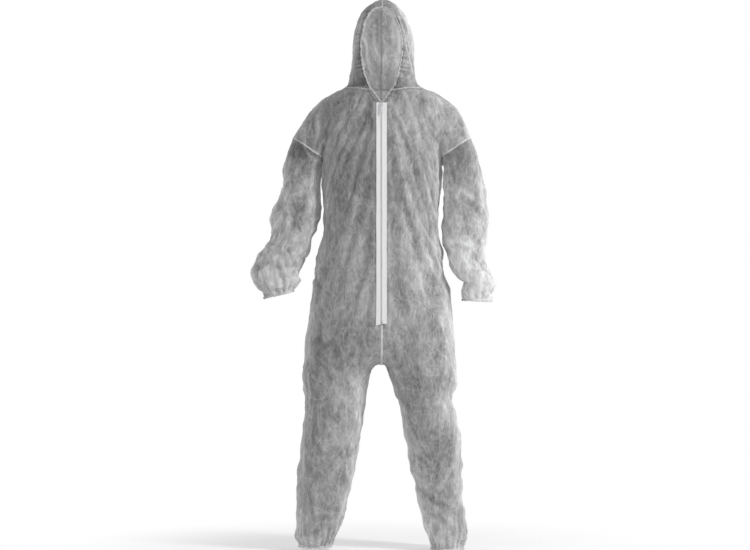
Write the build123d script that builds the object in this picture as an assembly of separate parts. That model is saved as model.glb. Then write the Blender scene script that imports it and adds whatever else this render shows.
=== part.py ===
from build123d import *
import math
import os

# Disposable hooded protective coverall, in the shape it takes on a wearer.
# Millimetres. +Z up, the front faces -Y, the wearer's left is +X.
# Origin: on the centre plane, level with the left ankle opening.
# "side" is +1 for the wearer's left and -1 for the right throughout.

SIDES = ((1, "left"), (-1, "right"))

# ------------------------------------------------------------------ driving dimensions
WALL = 1.6                  # modelled cloth wall
SEAM_HALF = 1.0             # half width of a sewn seam
EDGE = SEAM_HALF + 1.2      # panel edge to the middle of its seam
PROUD = 1.2                 # how far a seam stands off the cloth
SLIT = 5.6                  # panel edge to the centre plane beside the zip
CUT = 1.0                   # half of the gap that a turning joint leaves
STEP = 48.0                 # widest spacing of the sections that a panel is built on
# neck and shoulder seams: faces measured inwards from the cloth's outside, so both stand off it
RAISED = {"outer": -2.8, "inner": -1.3}

# turning joints about axes along X: y, z, radius
HIP = (0.0, 680.0, 160.0)
KNEE = (0.0, 372.0, 120.0)
ELBOW = (-6.0, 1045.0, 92.0)
HOOD_TURN = (0.0, 1478.0, 113.0)

# ------------------------------------------------------------------ section tables
# z, right half width, left half width, front y, back y, squareness
TORSO = [
    (1468, 100, 108, -90, 80, 2.1),
    (1452, 125, 140, -98, 84, 2.1),
    (1435, 165, 185, -105, 88, 2.1),
    (1415, 196, 212, -111, 94, 2.1),
    (1385, 216, 224, -114, 104, 2.2),
    (1340, 226, 226, -116, 117, 2.3),
    (1280, 222, 222, -118.5, 128, 2.4),
    (1200, 200, 202, -122, 131, 2.5),
    (1100, 194, 196, -126.4, 124, 2.5),
    (1000, 192, 188, -130.8, 114, 2.5),
    (920, 208, 200, -134.3, 120, 2.5),
    (820, 222, 219, -138.7, 137, 2.5),
    (740, 236, 230, -142.2, 142, 2.5),
    (660, 242, 238, -138, 136, 2.5),
    (600, 243, 238, -128, 124, 2.4),
]
HOOD = [
    (1469.5, 100, 108, -90, 80, 2.1),
    (1495, 101, 108, -93, 90, 2.1),
    (1530, 98, 107, -96, 104, 2.1),
    (1580, 94, 106, -99, 118, 2.1),
    (1630, 88, 100, -102, 126, 2.1),
    (1665, 80, 93, -102, 122, 2.1),
    (1690, 71, 81, -98, 109, 2.1),
    (1712, 55, 63, -84, 86, 2.0),
    (1727, 35, 41, -58, 58, 2.0),
    (1737, 12, 16, -22, 22, 2.0),
]

# z, half gap between the front edges: the neckline, then the zip, then the seam
FRONT_GAP = [
    (1468, 36.0), (1452, 30.5), (1435, 21.0), (1415, 9.5), (1400, SLIT),
    (722, SLIT), (700, EDGE), (598, EDGE),
]
GAP_BENDS = [1400.0, 722.0, 700.0]      # heights where FRONT_GAP turns sharply

# z, half width of the face opening
FACE = [
    (1469.5, 37.0), (1495, 50.0), (1530, 59.0), (1580, 65.0), (1630, 62.5),
    (1665, 52.0), (1690, 35.0), (1706, 4.4), (1714, 2.2), (1737, 2.2),
]
FACE_TOP = 1713.0           # above this the hood panels meet at the front seam
FACE_GAP_MIN = 4.0

# Limbs, by side: z, inner x, outer x, front y, back y, squareness
SLEEVE = {
    1: [
        (1402, 180, 236, -30, 30, 2.0),
        (1385, 172, 248, -46, 46, 2.0),
        (1355, 168, 270, -62, 63, 2.0),
        (1308, 168, 290, -72, 75, 2.0),
        (1257, 176, 309, -77, 79, 2.0),
        (1205, 206, 325, -76, 79, 2.1),
        (1150, 209, 335, -74, 76, 2.1),
        (1090, 209, 339, -76, 71, 2.1),
        (1030, 207, 338, -79, 64, 2.1),
        (970, 214, 333, -82, 54, 2.1),
        (910, 226, 337, -86, 45, 2.1),
        (865, 243, 353, -90, 40, 2.1),
        (830, 252, 354, -86, 36, 2.1),
    ],
    -1: [
        (1402, 175, 226, -30, 30, 2.0),
        (1385, 170, 240, -46, 46, 2.0),
        (1355, 168, 258, -62, 63, 2.0),
        (1308, 168, 284, -72, 75, 2.0),
        (1257, 176, 303, -77, 79, 2.0),
        (1205, 206, 314, -76, 79, 2.1),
        (1150, 209, 319, -74, 76, 2.1),
        (1090, 209, 338, -76, 71, 2.1),
        (1030, 212, 356, -79, 64, 2.1),
        (970, 230, 370, -84, 56, 2.1),
        (910, 248, 395, -90, 48, 2.1),
        (865, 259, 402, -94, 44, 2.1),
        (845, 262, 396, -92, 42, 2.1),
    ],
}
LEG = {
    1: [
        (598, 4, 238, -128, 124, 2.6),
        (560, 14, 236, -119, 120, 2.3),
        (520, 34, 232, -112, 115, 2.2),
        (470, 54, 226, -107, 108, 2.2),
        (420, 68, 233, -104, 103, 2.2),
        (372, 80, 244, -101, 98, 2.2),
        (318, 93, 253, -96, 92, 2.2),
        (267, 106, 253, -89, 91, 2.2),
        (200, 120, 254, -80, 91, 2.2),
        (130, 130, 262, -74, 86, 2.2),
        (70, 141, 268, -70, 79, 2.2),
        (38, 148, 270, -66, 73, 2.1),
    ],
    -1: [
        (598, 4, 243, -128, 124, 2.6),
        (560, 24, 247, -119, 120, 2.3),
        (520, 42, 246, -112, 115, 2.2),
        (470, 55, 239, -107, 108, 2.2),
        (420, 63, 240, -104, 103, 2.2),
        (372, 74, 246, -101, 98, 2.2),
        (318, 82, 254, -96, 92, 2.2),
        (267, 91, 260, -89, 91, 2.2),
        (200, 104, 265, -80, 91, 2.2),
        (130, 122, 265, -74, 86, 2.2),
        (70, 138, 266, -70, 79, 2.2),
        (38, 148, 267, -66, 73, 2.1),
    ],
}

# Cuffs, by side: centre x, y, z of the open end, inner radius, lean about +Y in degrees
WRIST = {1: (302.0, -26.0, 787.0, 38.0, 2.0), -1: (-324.0, -27.0, 806.0, 38.0, -14.0)}
ANKLE = {1: (209.0, 4.0, 0.0, 42.0, 0.0), -1: (-209.0, 4.0, 7.0, 42.0, 0.0)}
HEM_H = 14.0
HEM_T = 7.0


# ------------------------------------------------------------------ output and basic solids
def save(shape, name):
    shape.label = name
    export_step(shape, f"parts/{name}.step")


def group(items):
    return Compound(children=list(items))


def biggest(shape):
    return max(shape.solids(), key=lambda solid: solid.volume)


def box(x0, x1, y0, y1, z0, z1):
    """A box between limits, given in either order."""
    centre = Pos((x0 + x1) / 2, (y0 + y1) / 2, (z0 + z1) / 2)
    return centre * Box(abs(x1 - x0), abs(y1 - y0), abs(z1 - z0))


def drum(joint, offset, x0, x1):
    """The cylinder about a joint's axis, its radius grown by offset."""
    y, z, radius = joint
    plane = Plane(origin=((x0 + x1) / 2, y, z), x_dir=(0, 1, 0), z_dir=(1, 0, 0))
    return plane * Cylinder(radius + offset, abs(x1 - x0))


# ------------------------------------------------------------------ reading the tables
def straight(table, z):
    """Straight interpolation in a two-column table."""
    rows = sorted(table)
    for (z_low, low), (z_high, high) in zip(rows, rows[1:]):
        if z <= z_high:
            return low + (high - low) * (z - z_low) / (z_high - z_low)


def between(table, z):
    """The row of a section table at height z: monotone cubic in every column."""
    rows = sorted(table, key=lambda row: row[0])
    heights = [row[0] for row in rows]
    last = len(rows) - 1
    i = max(k for k in range(last) if heights[k] <= z)
    step = heights[i + 1] - heights[i]
    f = (z - heights[i]) / step
    result = [z]
    for column in range(1, len(rows[0])):
        values = [row[column] for row in rows]
        slopes = [
            (values[k + 1] - values[k]) / (heights[k + 1] - heights[k]) for k in range(last)
        ]
        tangents = [slopes[0]]
        for before, after in zip(slopes, slopes[1:]):
            turns = before * after <= 0
            tangents.append(0.0 if turns else 2 * before * after / (before + after))
        tangents.append(slopes[-1])
        result.append(
            values[i] * (1 + 2 * f) * (1 - f) ** 2
            + tangents[i] * step * f * (1 - f) ** 2
            + values[i + 1] * f * f * (3 - 2 * f)
            - tangents[i + 1] * step * f * f * (1 - f)
        )
    return tuple(result)


def dense(table, top=None, foot=None, extra=()):
    """Sections from top down to foot: the table's rows, with more added to keep within STEP."""
    heights = sorted(row[0] for row in table)
    top = heights[-1] if top is None else top
    foot = heights[0] if foot is None else foot
    keep = sorted({top, foot} | {z for z in heights + list(extra) if foot < z < top})
    result = []
    for low, high in zip(keep, keep[1:]):
        count = max(1, math.ceil((high - low) / STEP))
        result += [low + (high - low) * i / count for i in range(count)]
    result.append(keep[-1])
    return [between(table, z) for z in reversed(result)]


def limb_table(table, side):
    """A limb's rows in the torso's form: right and left half widths from the centre plane."""
    rows = []
    for z, inner, outer, *rest in table:
        right, left = (-inner, outer) if side > 0 else (outer, -inner)
        rows.append((z, right, left, *rest))
    return rows


# ------------------------------------------------------------------ section geometry
# Angles on a section: 0 is the wearer's left, pi/2 the back, pi the right, -pi/2 the front.
def oval(section, angle, inset=0.0):
    z, right, left, front, back, power = section
    half_x = (left + right) / 2 - inset
    half_y = (back - front) / 2 - inset
    c, s = math.cos(angle), math.sin(angle)
    return Vector(
        (left - right) / 2 + half_x * math.copysign(abs(c) ** (2 / power), c),
        (front + back) / 2 + half_y * math.copysign(abs(s) ** (2 / power), s),
        z,
    )


def crossing(section, x, low, high):
    for _ in range(60):
        middle = (low + high) / 2
        if oval(section, middle).X < x:
            low = middle
        else:
            high = middle
    return (low + high) / 2


def front_angle(section, x):
    """Where the front of the oval crosses x, between -pi and 0."""
    return crossing(section, x, -math.pi, 0.0)


def back_angle(section, x):
    """Where the back of the oval crosses x, between 0 and pi."""
    return crossing(section, x, math.pi, 0.0)


def side_angle(side):
    return 0.0 if side > 0 else math.pi


def spread(section, half_width):
    """The angle that takes a point half_width along Y from the side of the oval."""
    half_y = (section[4] - section[3]) / 2
    return (half_width / half_y) ** (section[5] / 2)


# Each of these gives a function from a section to its first and last angle.
def half_ends(side, front, back):
    """A half shell on one side, from x = front(z) in front round to x = back(z) behind."""

    def ends(section):
        z = section[0]
        first, last = front_angle(section, front(z)), back_angle(section, back(z))
        return (first, last) if side > 0 else (first, last - 2 * math.pi)

    return ends


def tube_ends(side):
    """All round a limb, but for a slit of 2*EDGE on the side that faces the body."""
    start = side_angle(-side)

    def ends(section):
        gap = spread(section, EDGE)
        return start + gap, start + 2 * math.pi - gap

    return ends


def seam_ends(angle):
    """A seam's width about one side of the oval."""

    def ends(section):
        half = spread(section, SEAM_HALF)
        return angle - half, angle + half

    return ends


def centre_ends(cross, middle):
    """A seam's width about x = middle(z); cross is front_angle or back_angle."""

    def ends(section):
        x = middle(section[0])
        return cross(section, x - SEAM_HALF), cross(section, x + SEAM_HALF)

    return ends


# ------------------------------------------------------------------ lofted cloth
def strip(section, ends, count, outer, inner):
    """The cloth's cross section: count points on each face, inset by outer and by inner."""
    first, last = ends(section)
    angles = [first + (last - first) * i / (count - 1) for i in range(count)]
    outside = [oval(section, angle, outer) for angle in angles]
    inside = [oval(section, angle, inner) for angle in reversed(angles)]
    return Wire.make_polygon(outside + inside, close=True)


def cuff_section(cuff):
    """The last section of a limb, a circle just outside its cuff."""
    x, y, z, radius, lean = cuff
    clearance = 3.2 if abs(lean) > 5 else 1.4
    reach = radius + HEM_T + clearance + WALL
    return (z + HEM_H * 0.45, reach - x, reach + x, y - reach, y + reach, 2.0)


def sheet(rows, ends, count, outer=0.0, inner=WALL, cuff=None):
    """Cloth lofted through sections, ending in a section that leans with the cuff if given."""
    wires = [strip(row, ends, count, outer, inner) for row in rows]
    if cuff:
        x, y, _, _, lean = cuff
        section = cuff_section(cuff)
        wire = strip(section, ends, count, outer, inner)
        if lean:
            wire = wire.rotate(Axis((x, y, section[0]), (0, 1, 0)), lean)
        wires.append(wire)
    return Solid.make_loft(wires, ruled=True)


def seam_strip(rows, ends, outer=-PROUD, inner=WALL, cuff=None):
    """A narrow seam, flat across its width."""
    return sheet(rows, ends, 2, outer, inner, cuff)


def tube(rows, side, cuff=None):
    return sheet(rows, tube_ends(side), 22, cuff=cuff)


def inner_seam(rows, side, cuff=None):
    """The seam down the side of a limb that faces the body."""
    return seam_strip(rows, seam_ends(side_angle(-side)), cuff=cuff)


# ------------------------------------------------------------------ body
ARMHOLE_Y, ARMHOLE_Z = 0.0, 1300.0
ARMHOLE_HALF_Y, ARMHOLE_HALF_Z = 62.0, 94.0
ARMHOLE_SEAM_INSETS = (1.4, 4.0)        # outer and inner edge, inside the armhole
ARMHOLE_SEAM_X, ARMHOLE_SEAM_W = 204, 23
SEAM_TOP = 1460.0                       # top of the shoulder and centre back seams
WAIST_ROWS = (1012.0, 1000.0)
WAIST_END = 0.30                        # angle from each side to the waist elastic's ends
NECK_SEAM_ROWS = (1467.0, 1463.0)
NECK_SEAM_GAP = 34.0


def armhole_plane(side, distance):
    """A plane across the arm that faces outwards."""
    return Plane(
        origin=(side * distance, ARMHOLE_Y, ARMHOLE_Z), x_dir=(0, 1, 0), z_dir=(side, 0, 0)
    )


def armhole_oval(inset):
    return Ellipse(ARMHOLE_HALF_Y - inset, ARMHOLE_HALF_Z - inset)


def body_panel(side):
    """Half of the torso, with the stub of leg above the hip's turning cut."""
    ends = half_ends(side, lambda z: side * straight(FRONT_GAP, z), lambda z: side * EDGE)
    panel = sheet(dense(TORSO, extra=GAP_BENDS), ends, 16)
    hole = extrude(armhole_plane(side, 150) * armhole_oval(0), 100)
    panel = biggest(panel - hole)
    stub = tube(dense(limb_table(LEG[side], side), foot=500.0), side)
    stub = biggest(stub & drum(HIP, -CUT, side * 0.2, side * 300))
    return group([panel, stub])


def armhole_seam(side):
    outer, inner = ARMHOLE_SEAM_INSETS
    ring = armhole_plane(side, ARMHOLE_SEAM_X) * (armhole_oval(outer) - armhole_oval(inner))
    return extrude(ring, ARMHOLE_SEAM_W)


def shoulder_seam(side):
    rows = dense(TORSO, top=SEAM_TOP, foot=1412.0, extra=[1444.0, 1428.0])
    return seam_strip(rows, seam_ends(side_angle(side)), **RAISED)


def centre_back_seam():
    rows = dense(TORSO, top=SEAM_TOP, extra=GAP_BENDS)
    return seam_strip(rows, centre_ends(back_angle, lambda z: 0.0))


def centre_front_seam():
    """The seam from the foot of the zip down."""
    return seam_strip(dense(TORSO, top=700.0), centre_ends(front_angle, lambda z: 0.0))


def waist_elastic():
    """A band round the back, inside the cloth."""
    rows = [between(TORSO, z) for z in WAIST_ROWS]
    return sheet(
        rows, lambda section: (WAIST_END, math.pi - WAIST_END), 15,
        outer=WALL + 1.2, inner=WALL + 2.4,
    )


def neck_seam():
    """A band outside the neck, open at the front."""

    def ends(section):
        last = front_angle(section, -NECK_SEAM_GAP) + 2 * math.pi
        return front_angle(section, NECK_SEAM_GAP), last

    return sheet([between(TORSO, z) for z in NECK_SEAM_ROWS], ends, 25, **RAISED)


def make_body():
    for side, name in SIDES:
        save(body_panel(side), f"body_panel_{name}")
        save(armhole_seam(side), f"armhole_seam_{name}")
        save(shoulder_seam(side), f"shoulder_seam_{name}")
    save(centre_back_seam(), "centre_back_seam")
    save(centre_front_seam(), "centre_front_seam")
    save(waist_elastic(), "waist_elastic")
    save(neck_seam(), "neck_seam")


# ------------------------------------------------------------------ hood
CROWN_DRIFT = 2.0           # x of the hood's centre seam at the crown


def crown_middle(z):
    """The hood's centre seam drifts a little to the wearer's left towards the crown."""
    return CROWN_DRIFT * min(1.0, max(0.0, (z - 1470.0) / 120.0))


def hood_half(rows, side):
    def front(z):
        if z > FACE_TOP:
            return crown_middle(z) + side * EDGE
        return side * max(straight(FACE, z), FACE_GAP_MIN)

    def back(z):
        return crown_middle(z) + side * EDGE

    return sheet(rows, half_ends(side, front, back), 14)


def make_hood():
    """Panels and seams, each parted at the turning cut into a hood and a neck piece."""
    rows = dense(HOOD, extra=[1706.0, 1714.0])
    turn_in = drum(HOOD_TURN, -CUT, -150, 150)
    turn_out = drum(HOOD_TURN, CUT, -150, 150)
    for side, name in SIDES:
        half = hood_half(rows, side)
        save(biggest(half - turn_out), f"hood_panel_{name}")
        save(biggest(half & turn_in), f"hood_neck_{name}")

    back = seam_strip(rows, centre_ends(back_angle, crown_middle))
    crown_rows = [row for row in rows if row[0] > FACE_TOP]
    front = seam_strip(crown_rows, centre_ends(front_angle, crown_middle))
    save(group([biggest(back - turn_out), front]), "hood_centre_seam")
    save(biggest(back & turn_in), "hood_neck_back_seam")


# ------------------------------------------------------------------ zip frame
ZIP_TOP = (0.0, -115.0, 1406.5)
ZIP_LEN = 683.0
ZIP_LEAN = 0.04396          # how far the zip comes forward per unit of drop
TAPE_IN, TAPE_OUT = 1.1, 16.5
COIL_IN, COIL_OUT = 0.75, 3.3

# local frame: X across, Y up along the zip, Z out of the cloth
LEAN_ANGLE = math.atan(ZIP_LEAN)
ZIP = Plane(
    origin=ZIP_TOP, x_dir=(1, 0, 0), z_dir=(0, -math.cos(LEAN_ANGLE), math.sin(LEAN_ANGLE))
)

# ------------------------------------------------------------------ face opening
# A hem tube with an elastic cord in it, parted where it crosses the hood's turning cut.
HEM_EDGE = [(1472.0, 38.2)] + FACE[1:6] + [(1688, 36.5)]    # z, half gap of the panel edge
HEM_BACK_OFF = 5.0          # hem line to the panel edge, along X
CORD_R = 1.3
CROWN_HEM_R = (2.15, 1.6)   # outer, inner
NECK_HEM_R = (3.0, 1.8)


def hem_y(section, angle):
    return oval(section, angle, 0.8).Y - 0.5


def edge_point(z, gap):
    """A point of the hem line on the wearer's left."""
    section = between(HOOD, z)
    return (gap - HEM_BACK_OFF, hem_y(section, front_angle(section, gap)), z)


def mirrored(points):
    return [(-x, y, z) for x, y, z in points]


def cut_height():
    """Height where the hem line crosses the turning cut, by repeated substitution."""
    axis_y, axis_z, radius = HOOD_TURN
    z = 1540.0
    for _ in range(40):
        y = edge_point(z, straight(FACE, z))[1]
        z = axis_z + math.sqrt(radius**2 - (y - axis_y) ** 2)
    return z


def crown_line(z_cut):
    """Up the left edge, over the brow and down the right edge."""
    left = [edge_point(z_cut + 5.0, straight(FACE, z_cut) + 0.6)]
    left += [edge_point(z, gap) for z, gap in HEM_EDGE if z > z_cut + 15]
    brow_y = hem_y(between(HOOD, 1706.0), -math.pi / 2)
    brow = [(17.0, brow_y - 1.0, 1696.5), (1.0, brow_y, 1700.5), (-15.5, brow_y - 1.0, 1696.5)]
    return left + brow + mirrored(reversed(left))


def neckline(z_cut):
    """From the top of the zip up the left edge to the turning cut."""
    line = [
        (TAPE_IN + 2.6, ZIP_TOP[1] + 1.0, ZIP_TOP[2] + 5.0),
        (10.0, -113.2, 1425.0),
        (21.0, -106.0, 1446.0),
    ]
    line += [edge_point(z, gap) for z, gap in HEM_EDGE if z < z_cut - 15]
    return line + [edge_point(z_cut - 5.0, straight(FACE, z_cut) - 0.6)]


def piped(points, outer, inner=None):
    """A round cord through points, or a tube if an inner radius is given."""
    path = Edge.make_spline([Vector(*point) for point in points])
    plane = Plane(origin=path @ 0, z_dir=path % 0)
    face = plane * (Circle(outer) - Circle(inner) if inner else Circle(outer))
    return biggest(sweep(face, path=Wire([path]), transition=Transition.ROUND))


def make_face_hem():
    z_cut = cut_height()
    crown = crown_line(z_cut)
    save(piped(crown, *CROWN_HEM_R), "face_hem_crown")
    save(piped(crown, CORD_R), "face_elastic_crown")
    left = neckline(z_cut)
    necklines = (left, mirrored(left))
    save(group(piped(line, *NECK_HEM_R) for line in necklines), "face_hem_neck")
    save(group(piped(line, CORD_R) for line in necklines), "face_elastic_neck")


# ------------------------------------------------------------------ cuffs
HEM_WALL = 1.0
HEM_FLOOR = 1.2
ELASTIC_H = 8.0
ELASTIC_T = 3.0
ELASTIC_LIFT = 2.0          # open end to the elastic


def make_cuff(cuff, joint_name, name):
    """A hem, folded up as a channel, and the elastic in it; the open end faces down."""
    x, y, z, radius, lean = cuff
    place = Pos(x, y, z) * Rot(0, lean, 0)
    outer = radius + HEM_T
    outline = Polyline(
        (radius, 0), (outer, 0), (outer, HEM_H), (outer - HEM_WALL, HEM_H),
        (outer - HEM_WALL, HEM_FLOOR), (radius + HEM_WALL, HEM_FLOOR),
        (radius + HEM_WALL, HEM_H), (radius, HEM_H), (radius, 0),
    )
    hem = revolve(Plane.XZ * make_face(outline), Axis.Z)
    save(place * hem, f"{joint_name}_hem_{name}")
    middle = Pos(radius + HEM_T / 2, ELASTIC_LIFT + ELASTIC_H / 2)
    band = Plane.XZ * middle * Rectangle(ELASTIC_T, ELASTIC_H)
    save(place * revolve(band, Axis.Z), f"{joint_name}_elastic_{name}")


# ------------------------------------------------------------------ sleeves and legs
ARMHOLE_X = 228.5           # the sleeves start here
SLEEVE_NOTCH_Z = 1180       # foot of the notch that makes room for the torso
SLEEVE_SEAM_TOP = 1178.0


def below_joint(joint, span, depth, foot):
    """What an upper piece loses: all below the joint's axis, but for its drum."""
    return box(*span, -depth, depth, foot, joint[1]) - drum(joint, -CUT, *span)


def lower_limb(table, side, joint, span, cuff):
    """The cloth and the seam from the joint's drum down to the cuff."""
    rows = dense(table, top=joint[1])
    turn = drum(joint, CUT, *span)
    cloth = biggest(tube(rows, side, cuff) - turn)
    return cloth, biggest(inner_seam(rows, side, cuff) - turn)


def make_sleeve(side, name):
    table = limb_table(SLEEVE[side], side)
    span = (side * 150, side * 450)
    foot = 940.0
    below = below_joint(ELBOW, span, depth=150, foot=850)
    notch = box(side * 100, side * ARMHOLE_X, -150, 150, SLEEVE_NOTCH_Z, 1450)
    upper = biggest(tube(dense(table, foot=foot), side) - notch)
    save(biggest(upper - below), f"sleeve_upper_{name}")
    seam = inner_seam(dense(table, top=SLEEVE_SEAM_TOP, foot=foot), side)
    save(biggest(seam - below), f"sleeve_seam_upper_{name}")
    lower, seam = lower_limb(table, side, ELBOW, span, WRIST[side])
    save(lower, f"sleeve_lower_{name}")
    save(seam, f"sleeve_seam_lower_{name}")
    make_cuff(WRIST[side], "wrist", name)


def make_leg(side, name):
    table = limb_table(LEG[side], side)
    span = (side * 0.2, side * 350)
    rows = dense(table, foot=240.0)
    below = below_joint(KNEE, span, depth=180, foot=150)
    hip = drum(HIP, CUT, *span)
    save(biggest(biggest(tube(rows, side) - hip) - below), f"leg_thigh_{name}")
    save(biggest(biggest(inner_seam(rows, side) - hip) - below), f"inseam_thigh_{name}")
    shin, seam = lower_limb(table, side, KNEE, span, ANKLE[side])
    save(shin, f"leg_shin_{name}")
    save(seam, f"inseam_shin_{name}")
    make_cuff(ANKLE[side], "ankle", name)


# ------------------------------------------------------------------ zip
TAPE_T = 0.6
TAPE_END = -ZIP_LEN - 10
COIL_Z = (0.32, 2.3)
STITCH_X = (9.5, 14.8)      # rows of stitching on each tape
STITCH_HALF = 0.35


def zip_tape(side):
    """One tape; the right one has a cut end that hangs below."""
    half = TAPE_T / 2
    tape = box(side * TAPE_IN, side * TAPE_OUT, TAPE_END, 0, -half, half)
    if side < 0:
        outline = Polyline(
            (-TAPE_OUT, TAPE_END), (-TAPE_IN, TAPE_END), (-TAPE_IN - 1.5, TAPE_END - 5),
            (-TAPE_OUT - 4, TAPE_END + 0.8), (-TAPE_OUT, TAPE_END),
        )
        tail = extrude(Plane.XY * make_face(outline), TAPE_T)
        tape = biggest(tape + Pos(0, 0, -half) * tail)
    return tape


def stitch_row(side, x):
    inner, outer = side * (x - STITCH_HALF), side * (x + STITCH_HALF)
    return box(inner, outer, -ZIP_LEN - 6, -2, 0.33, 0.75)


def make_zip():
    for side, name in SIDES:
        save(ZIP * zip_tape(side), f"zip_tape_{name}")
        coil = box(side * COIL_IN, side * COIL_OUT, -ZIP_LEN, -1.4, *COIL_Z)
        save(ZIP * coil, f"zip_coil_{name}")
    rows = [ZIP * stitch_row(side, x) for side, _ in SIDES for x in STITCH_X]
    save(group(rows), "zip_stitching")
    stops = [ZIP * box(side * 0.9, side * 3.7, -1.2, 1.2, 0.34, 2.5) for side, _ in SIDES]
    save(group(stops), "zip_top_stops")
    save(ZIP * box(-3.6, 3.6, -ZIP_LEN - 6, -ZIP_LEN - 1, 0.34, 2.7), "zip_bottom_stop")


# ------------------------------------------------------------------ slider and pull tab
SLIDER_TOP = -1.6
SLIDER_L = 12.4
PLATE_Z = 3.3               # middle of the front plate
UNDER_Z = -1.25             # middle of the plate behind the tapes
PIN_Y = SLIDER_TOP - SLIDER_L / 2
PIN_Z = 6.2


def rounded_plate(width, length, radius, half_thickness):
    return extrude(RectangleRounded(width, length, radius), half_thickness, both=True)


def zip_slider():
    """Two plates joined by a post between the coils, and a crown that holds the tab."""
    plate = Pos(0, PIN_Y, PLATE_Z) * rounded_plate(9.4, SLIDER_L, 2.6, 0.6)
    under = Pos(0, PIN_Y, UNDER_Z) * rounded_plate(9.0, 12.0, 2.6, 0.45)
    post = box(-0.55, 0.55, SLIDER_TOP - 5.0, SLIDER_TOP - 0.6, UNDER_Z, PLATE_Z)
    flange_limits = (SLIDER_TOP - 11.0, SLIDER_TOP - 1.6, 0.9, PLATE_Z)
    flanges = box(-4.7, -3.9, *flange_limits) + box(3.9, 4.7, *flange_limits)
    slider = plate + under + post + flanges
    for side in (-1, 1):
        slider += box(
            side * 2.2, side * 3.1, SLIDER_TOP - 7.4, SLIDER_TOP - 5.0, PLATE_Z, 7.0
        )
    pin = Pos(0, PIN_Y, PIN_Z) * Rot(0, 90, 0) * Cylinder(0.8, 5.4)
    return biggest(slider + pin)


def zip_pull_tab():
    """The tab that hangs on the slider's pin."""
    eye = Pos(0, PIN_Y, PIN_Z) * Rot(0, 90, 0) * (Cylinder(1.9, 3.9) - Cylinder(0.86, 6))
    neck = box(-1.7, 1.7, PIN_Y - 9, PIN_Y - 1.5, PIN_Z - 0.55, PIN_Z + 0.55)
    paddle = Pos(0, PIN_Y - 19, PIN_Z) * rounded_plate(6.4, 22, 2.4, 0.6)
    hole = Pos(0, PIN_Y - 26, PIN_Z) * Cylinder(1.3, 4)
    return biggest((eye + neck + paddle) - hole)


# ------------------------------------------------------------------ build
os.makedirs("parts", exist_ok=True)
make_body()
make_hood()
make_face_hem()
for side, name in SIDES:
    make_sleeve(side, name)
    make_leg(side, name)
make_zip()
save(ZIP * zip_slider(), "zip_slider")
save(ZIP * zip_pull_tab(), "zip_pull_tab")
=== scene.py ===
"""A white hooded coverall in nonwoven cloth with a front zip, standing as if worn.

Metres, +Z up. The ankle openings are close to z = 0, the front faces -Y and the wearer's left is +X.
One closed skin is built from level sections, opened at face and cuffs, draped, creased, then cut
into panels. Seams, hems, elastics and the zip are swept or built on top of it.
"""
import math

import bmesh
import bpy
import numpy as np
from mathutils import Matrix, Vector, noise


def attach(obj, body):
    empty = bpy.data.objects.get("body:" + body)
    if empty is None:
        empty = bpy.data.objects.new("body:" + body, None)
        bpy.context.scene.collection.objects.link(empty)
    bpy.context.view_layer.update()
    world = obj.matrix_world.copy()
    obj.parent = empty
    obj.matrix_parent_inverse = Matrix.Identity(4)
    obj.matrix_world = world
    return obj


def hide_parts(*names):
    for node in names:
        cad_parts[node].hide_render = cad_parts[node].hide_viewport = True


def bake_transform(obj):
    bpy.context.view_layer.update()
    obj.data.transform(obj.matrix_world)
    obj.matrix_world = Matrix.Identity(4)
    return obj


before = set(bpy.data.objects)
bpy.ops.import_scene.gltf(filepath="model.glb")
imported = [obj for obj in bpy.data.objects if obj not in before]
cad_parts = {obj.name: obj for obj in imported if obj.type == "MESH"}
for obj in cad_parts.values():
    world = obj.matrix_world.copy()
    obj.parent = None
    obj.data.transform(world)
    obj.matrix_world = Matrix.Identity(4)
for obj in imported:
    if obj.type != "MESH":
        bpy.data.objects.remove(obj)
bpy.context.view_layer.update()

scene = bpy.context.scene

# ---------------------------------------------------------------- sections, millimetres
# Trunk and hood: z, reach towards -X, reach towards +X, front y, back y, squareness
TRUNK = [
    (1737, 10, 14, -18, 20, 2.0), (1728, 30, 40, -46, 50, 2.0), (1715, 52, 60, -76, 80, 2.0),
    (1690, 74, 80, -98, 108, 2.1), (1664, 81, 93, -102, 120, 2.1), (1638, 87, 99, -102, 125, 2.1),
    (1587, 94, 106, -99, 118, 2.1), (1537, 97, 106, -96, 104, 2.1), (1500, 101, 107, -93, 92, 2.1),
    (1472, 103, 113, -91, 84, 2.1), (1460, 112, 124, -92, 82, 2.1), (1448, 140, 158, -96, 84, 2.1),
    (1435, 168, 190, -101, 88, 2.1), (1412, 196, 210, -108, 95, 2.15),
    (1385, 208, 214, -112, 106, 2.2), (1340, 212, 214, -115, 118, 2.3),
    (1280, 204, 206, -118, 128, 2.4), (1250, 199, 200, -119.5, 130, 2.45),
    (1200, 193, 194, -122, 131, 2.5), (1100, 189, 190, -126.4, 124, 2.5),
    (1003, 190, 184, -130.7, 114, 2.5), (978, 197, 188, -131.6, 114.5, 2.5),
    (952, 203, 199, -132.8, 116, 2.5), (902, 212, 200, -135, 122, 2.5),
    (851, 216, 206, -137.3, 132, 2.5), (813, 219, 217, -139, 138, 2.5),
    (760, 227, 222, -141.4, 142, 2.5), (705, 233, 226, -141, 141, 2.5),
    (660, 240, 232, -138, 137, 2.5), (622, 243, 233, -131, 129, 2.4),
    (596, 236, 226, -122, 118, 2.3), (580, 205, 198, -104, 98, 2.2), (572, 150, 148, -70, 66, 2.0),
]
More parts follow.
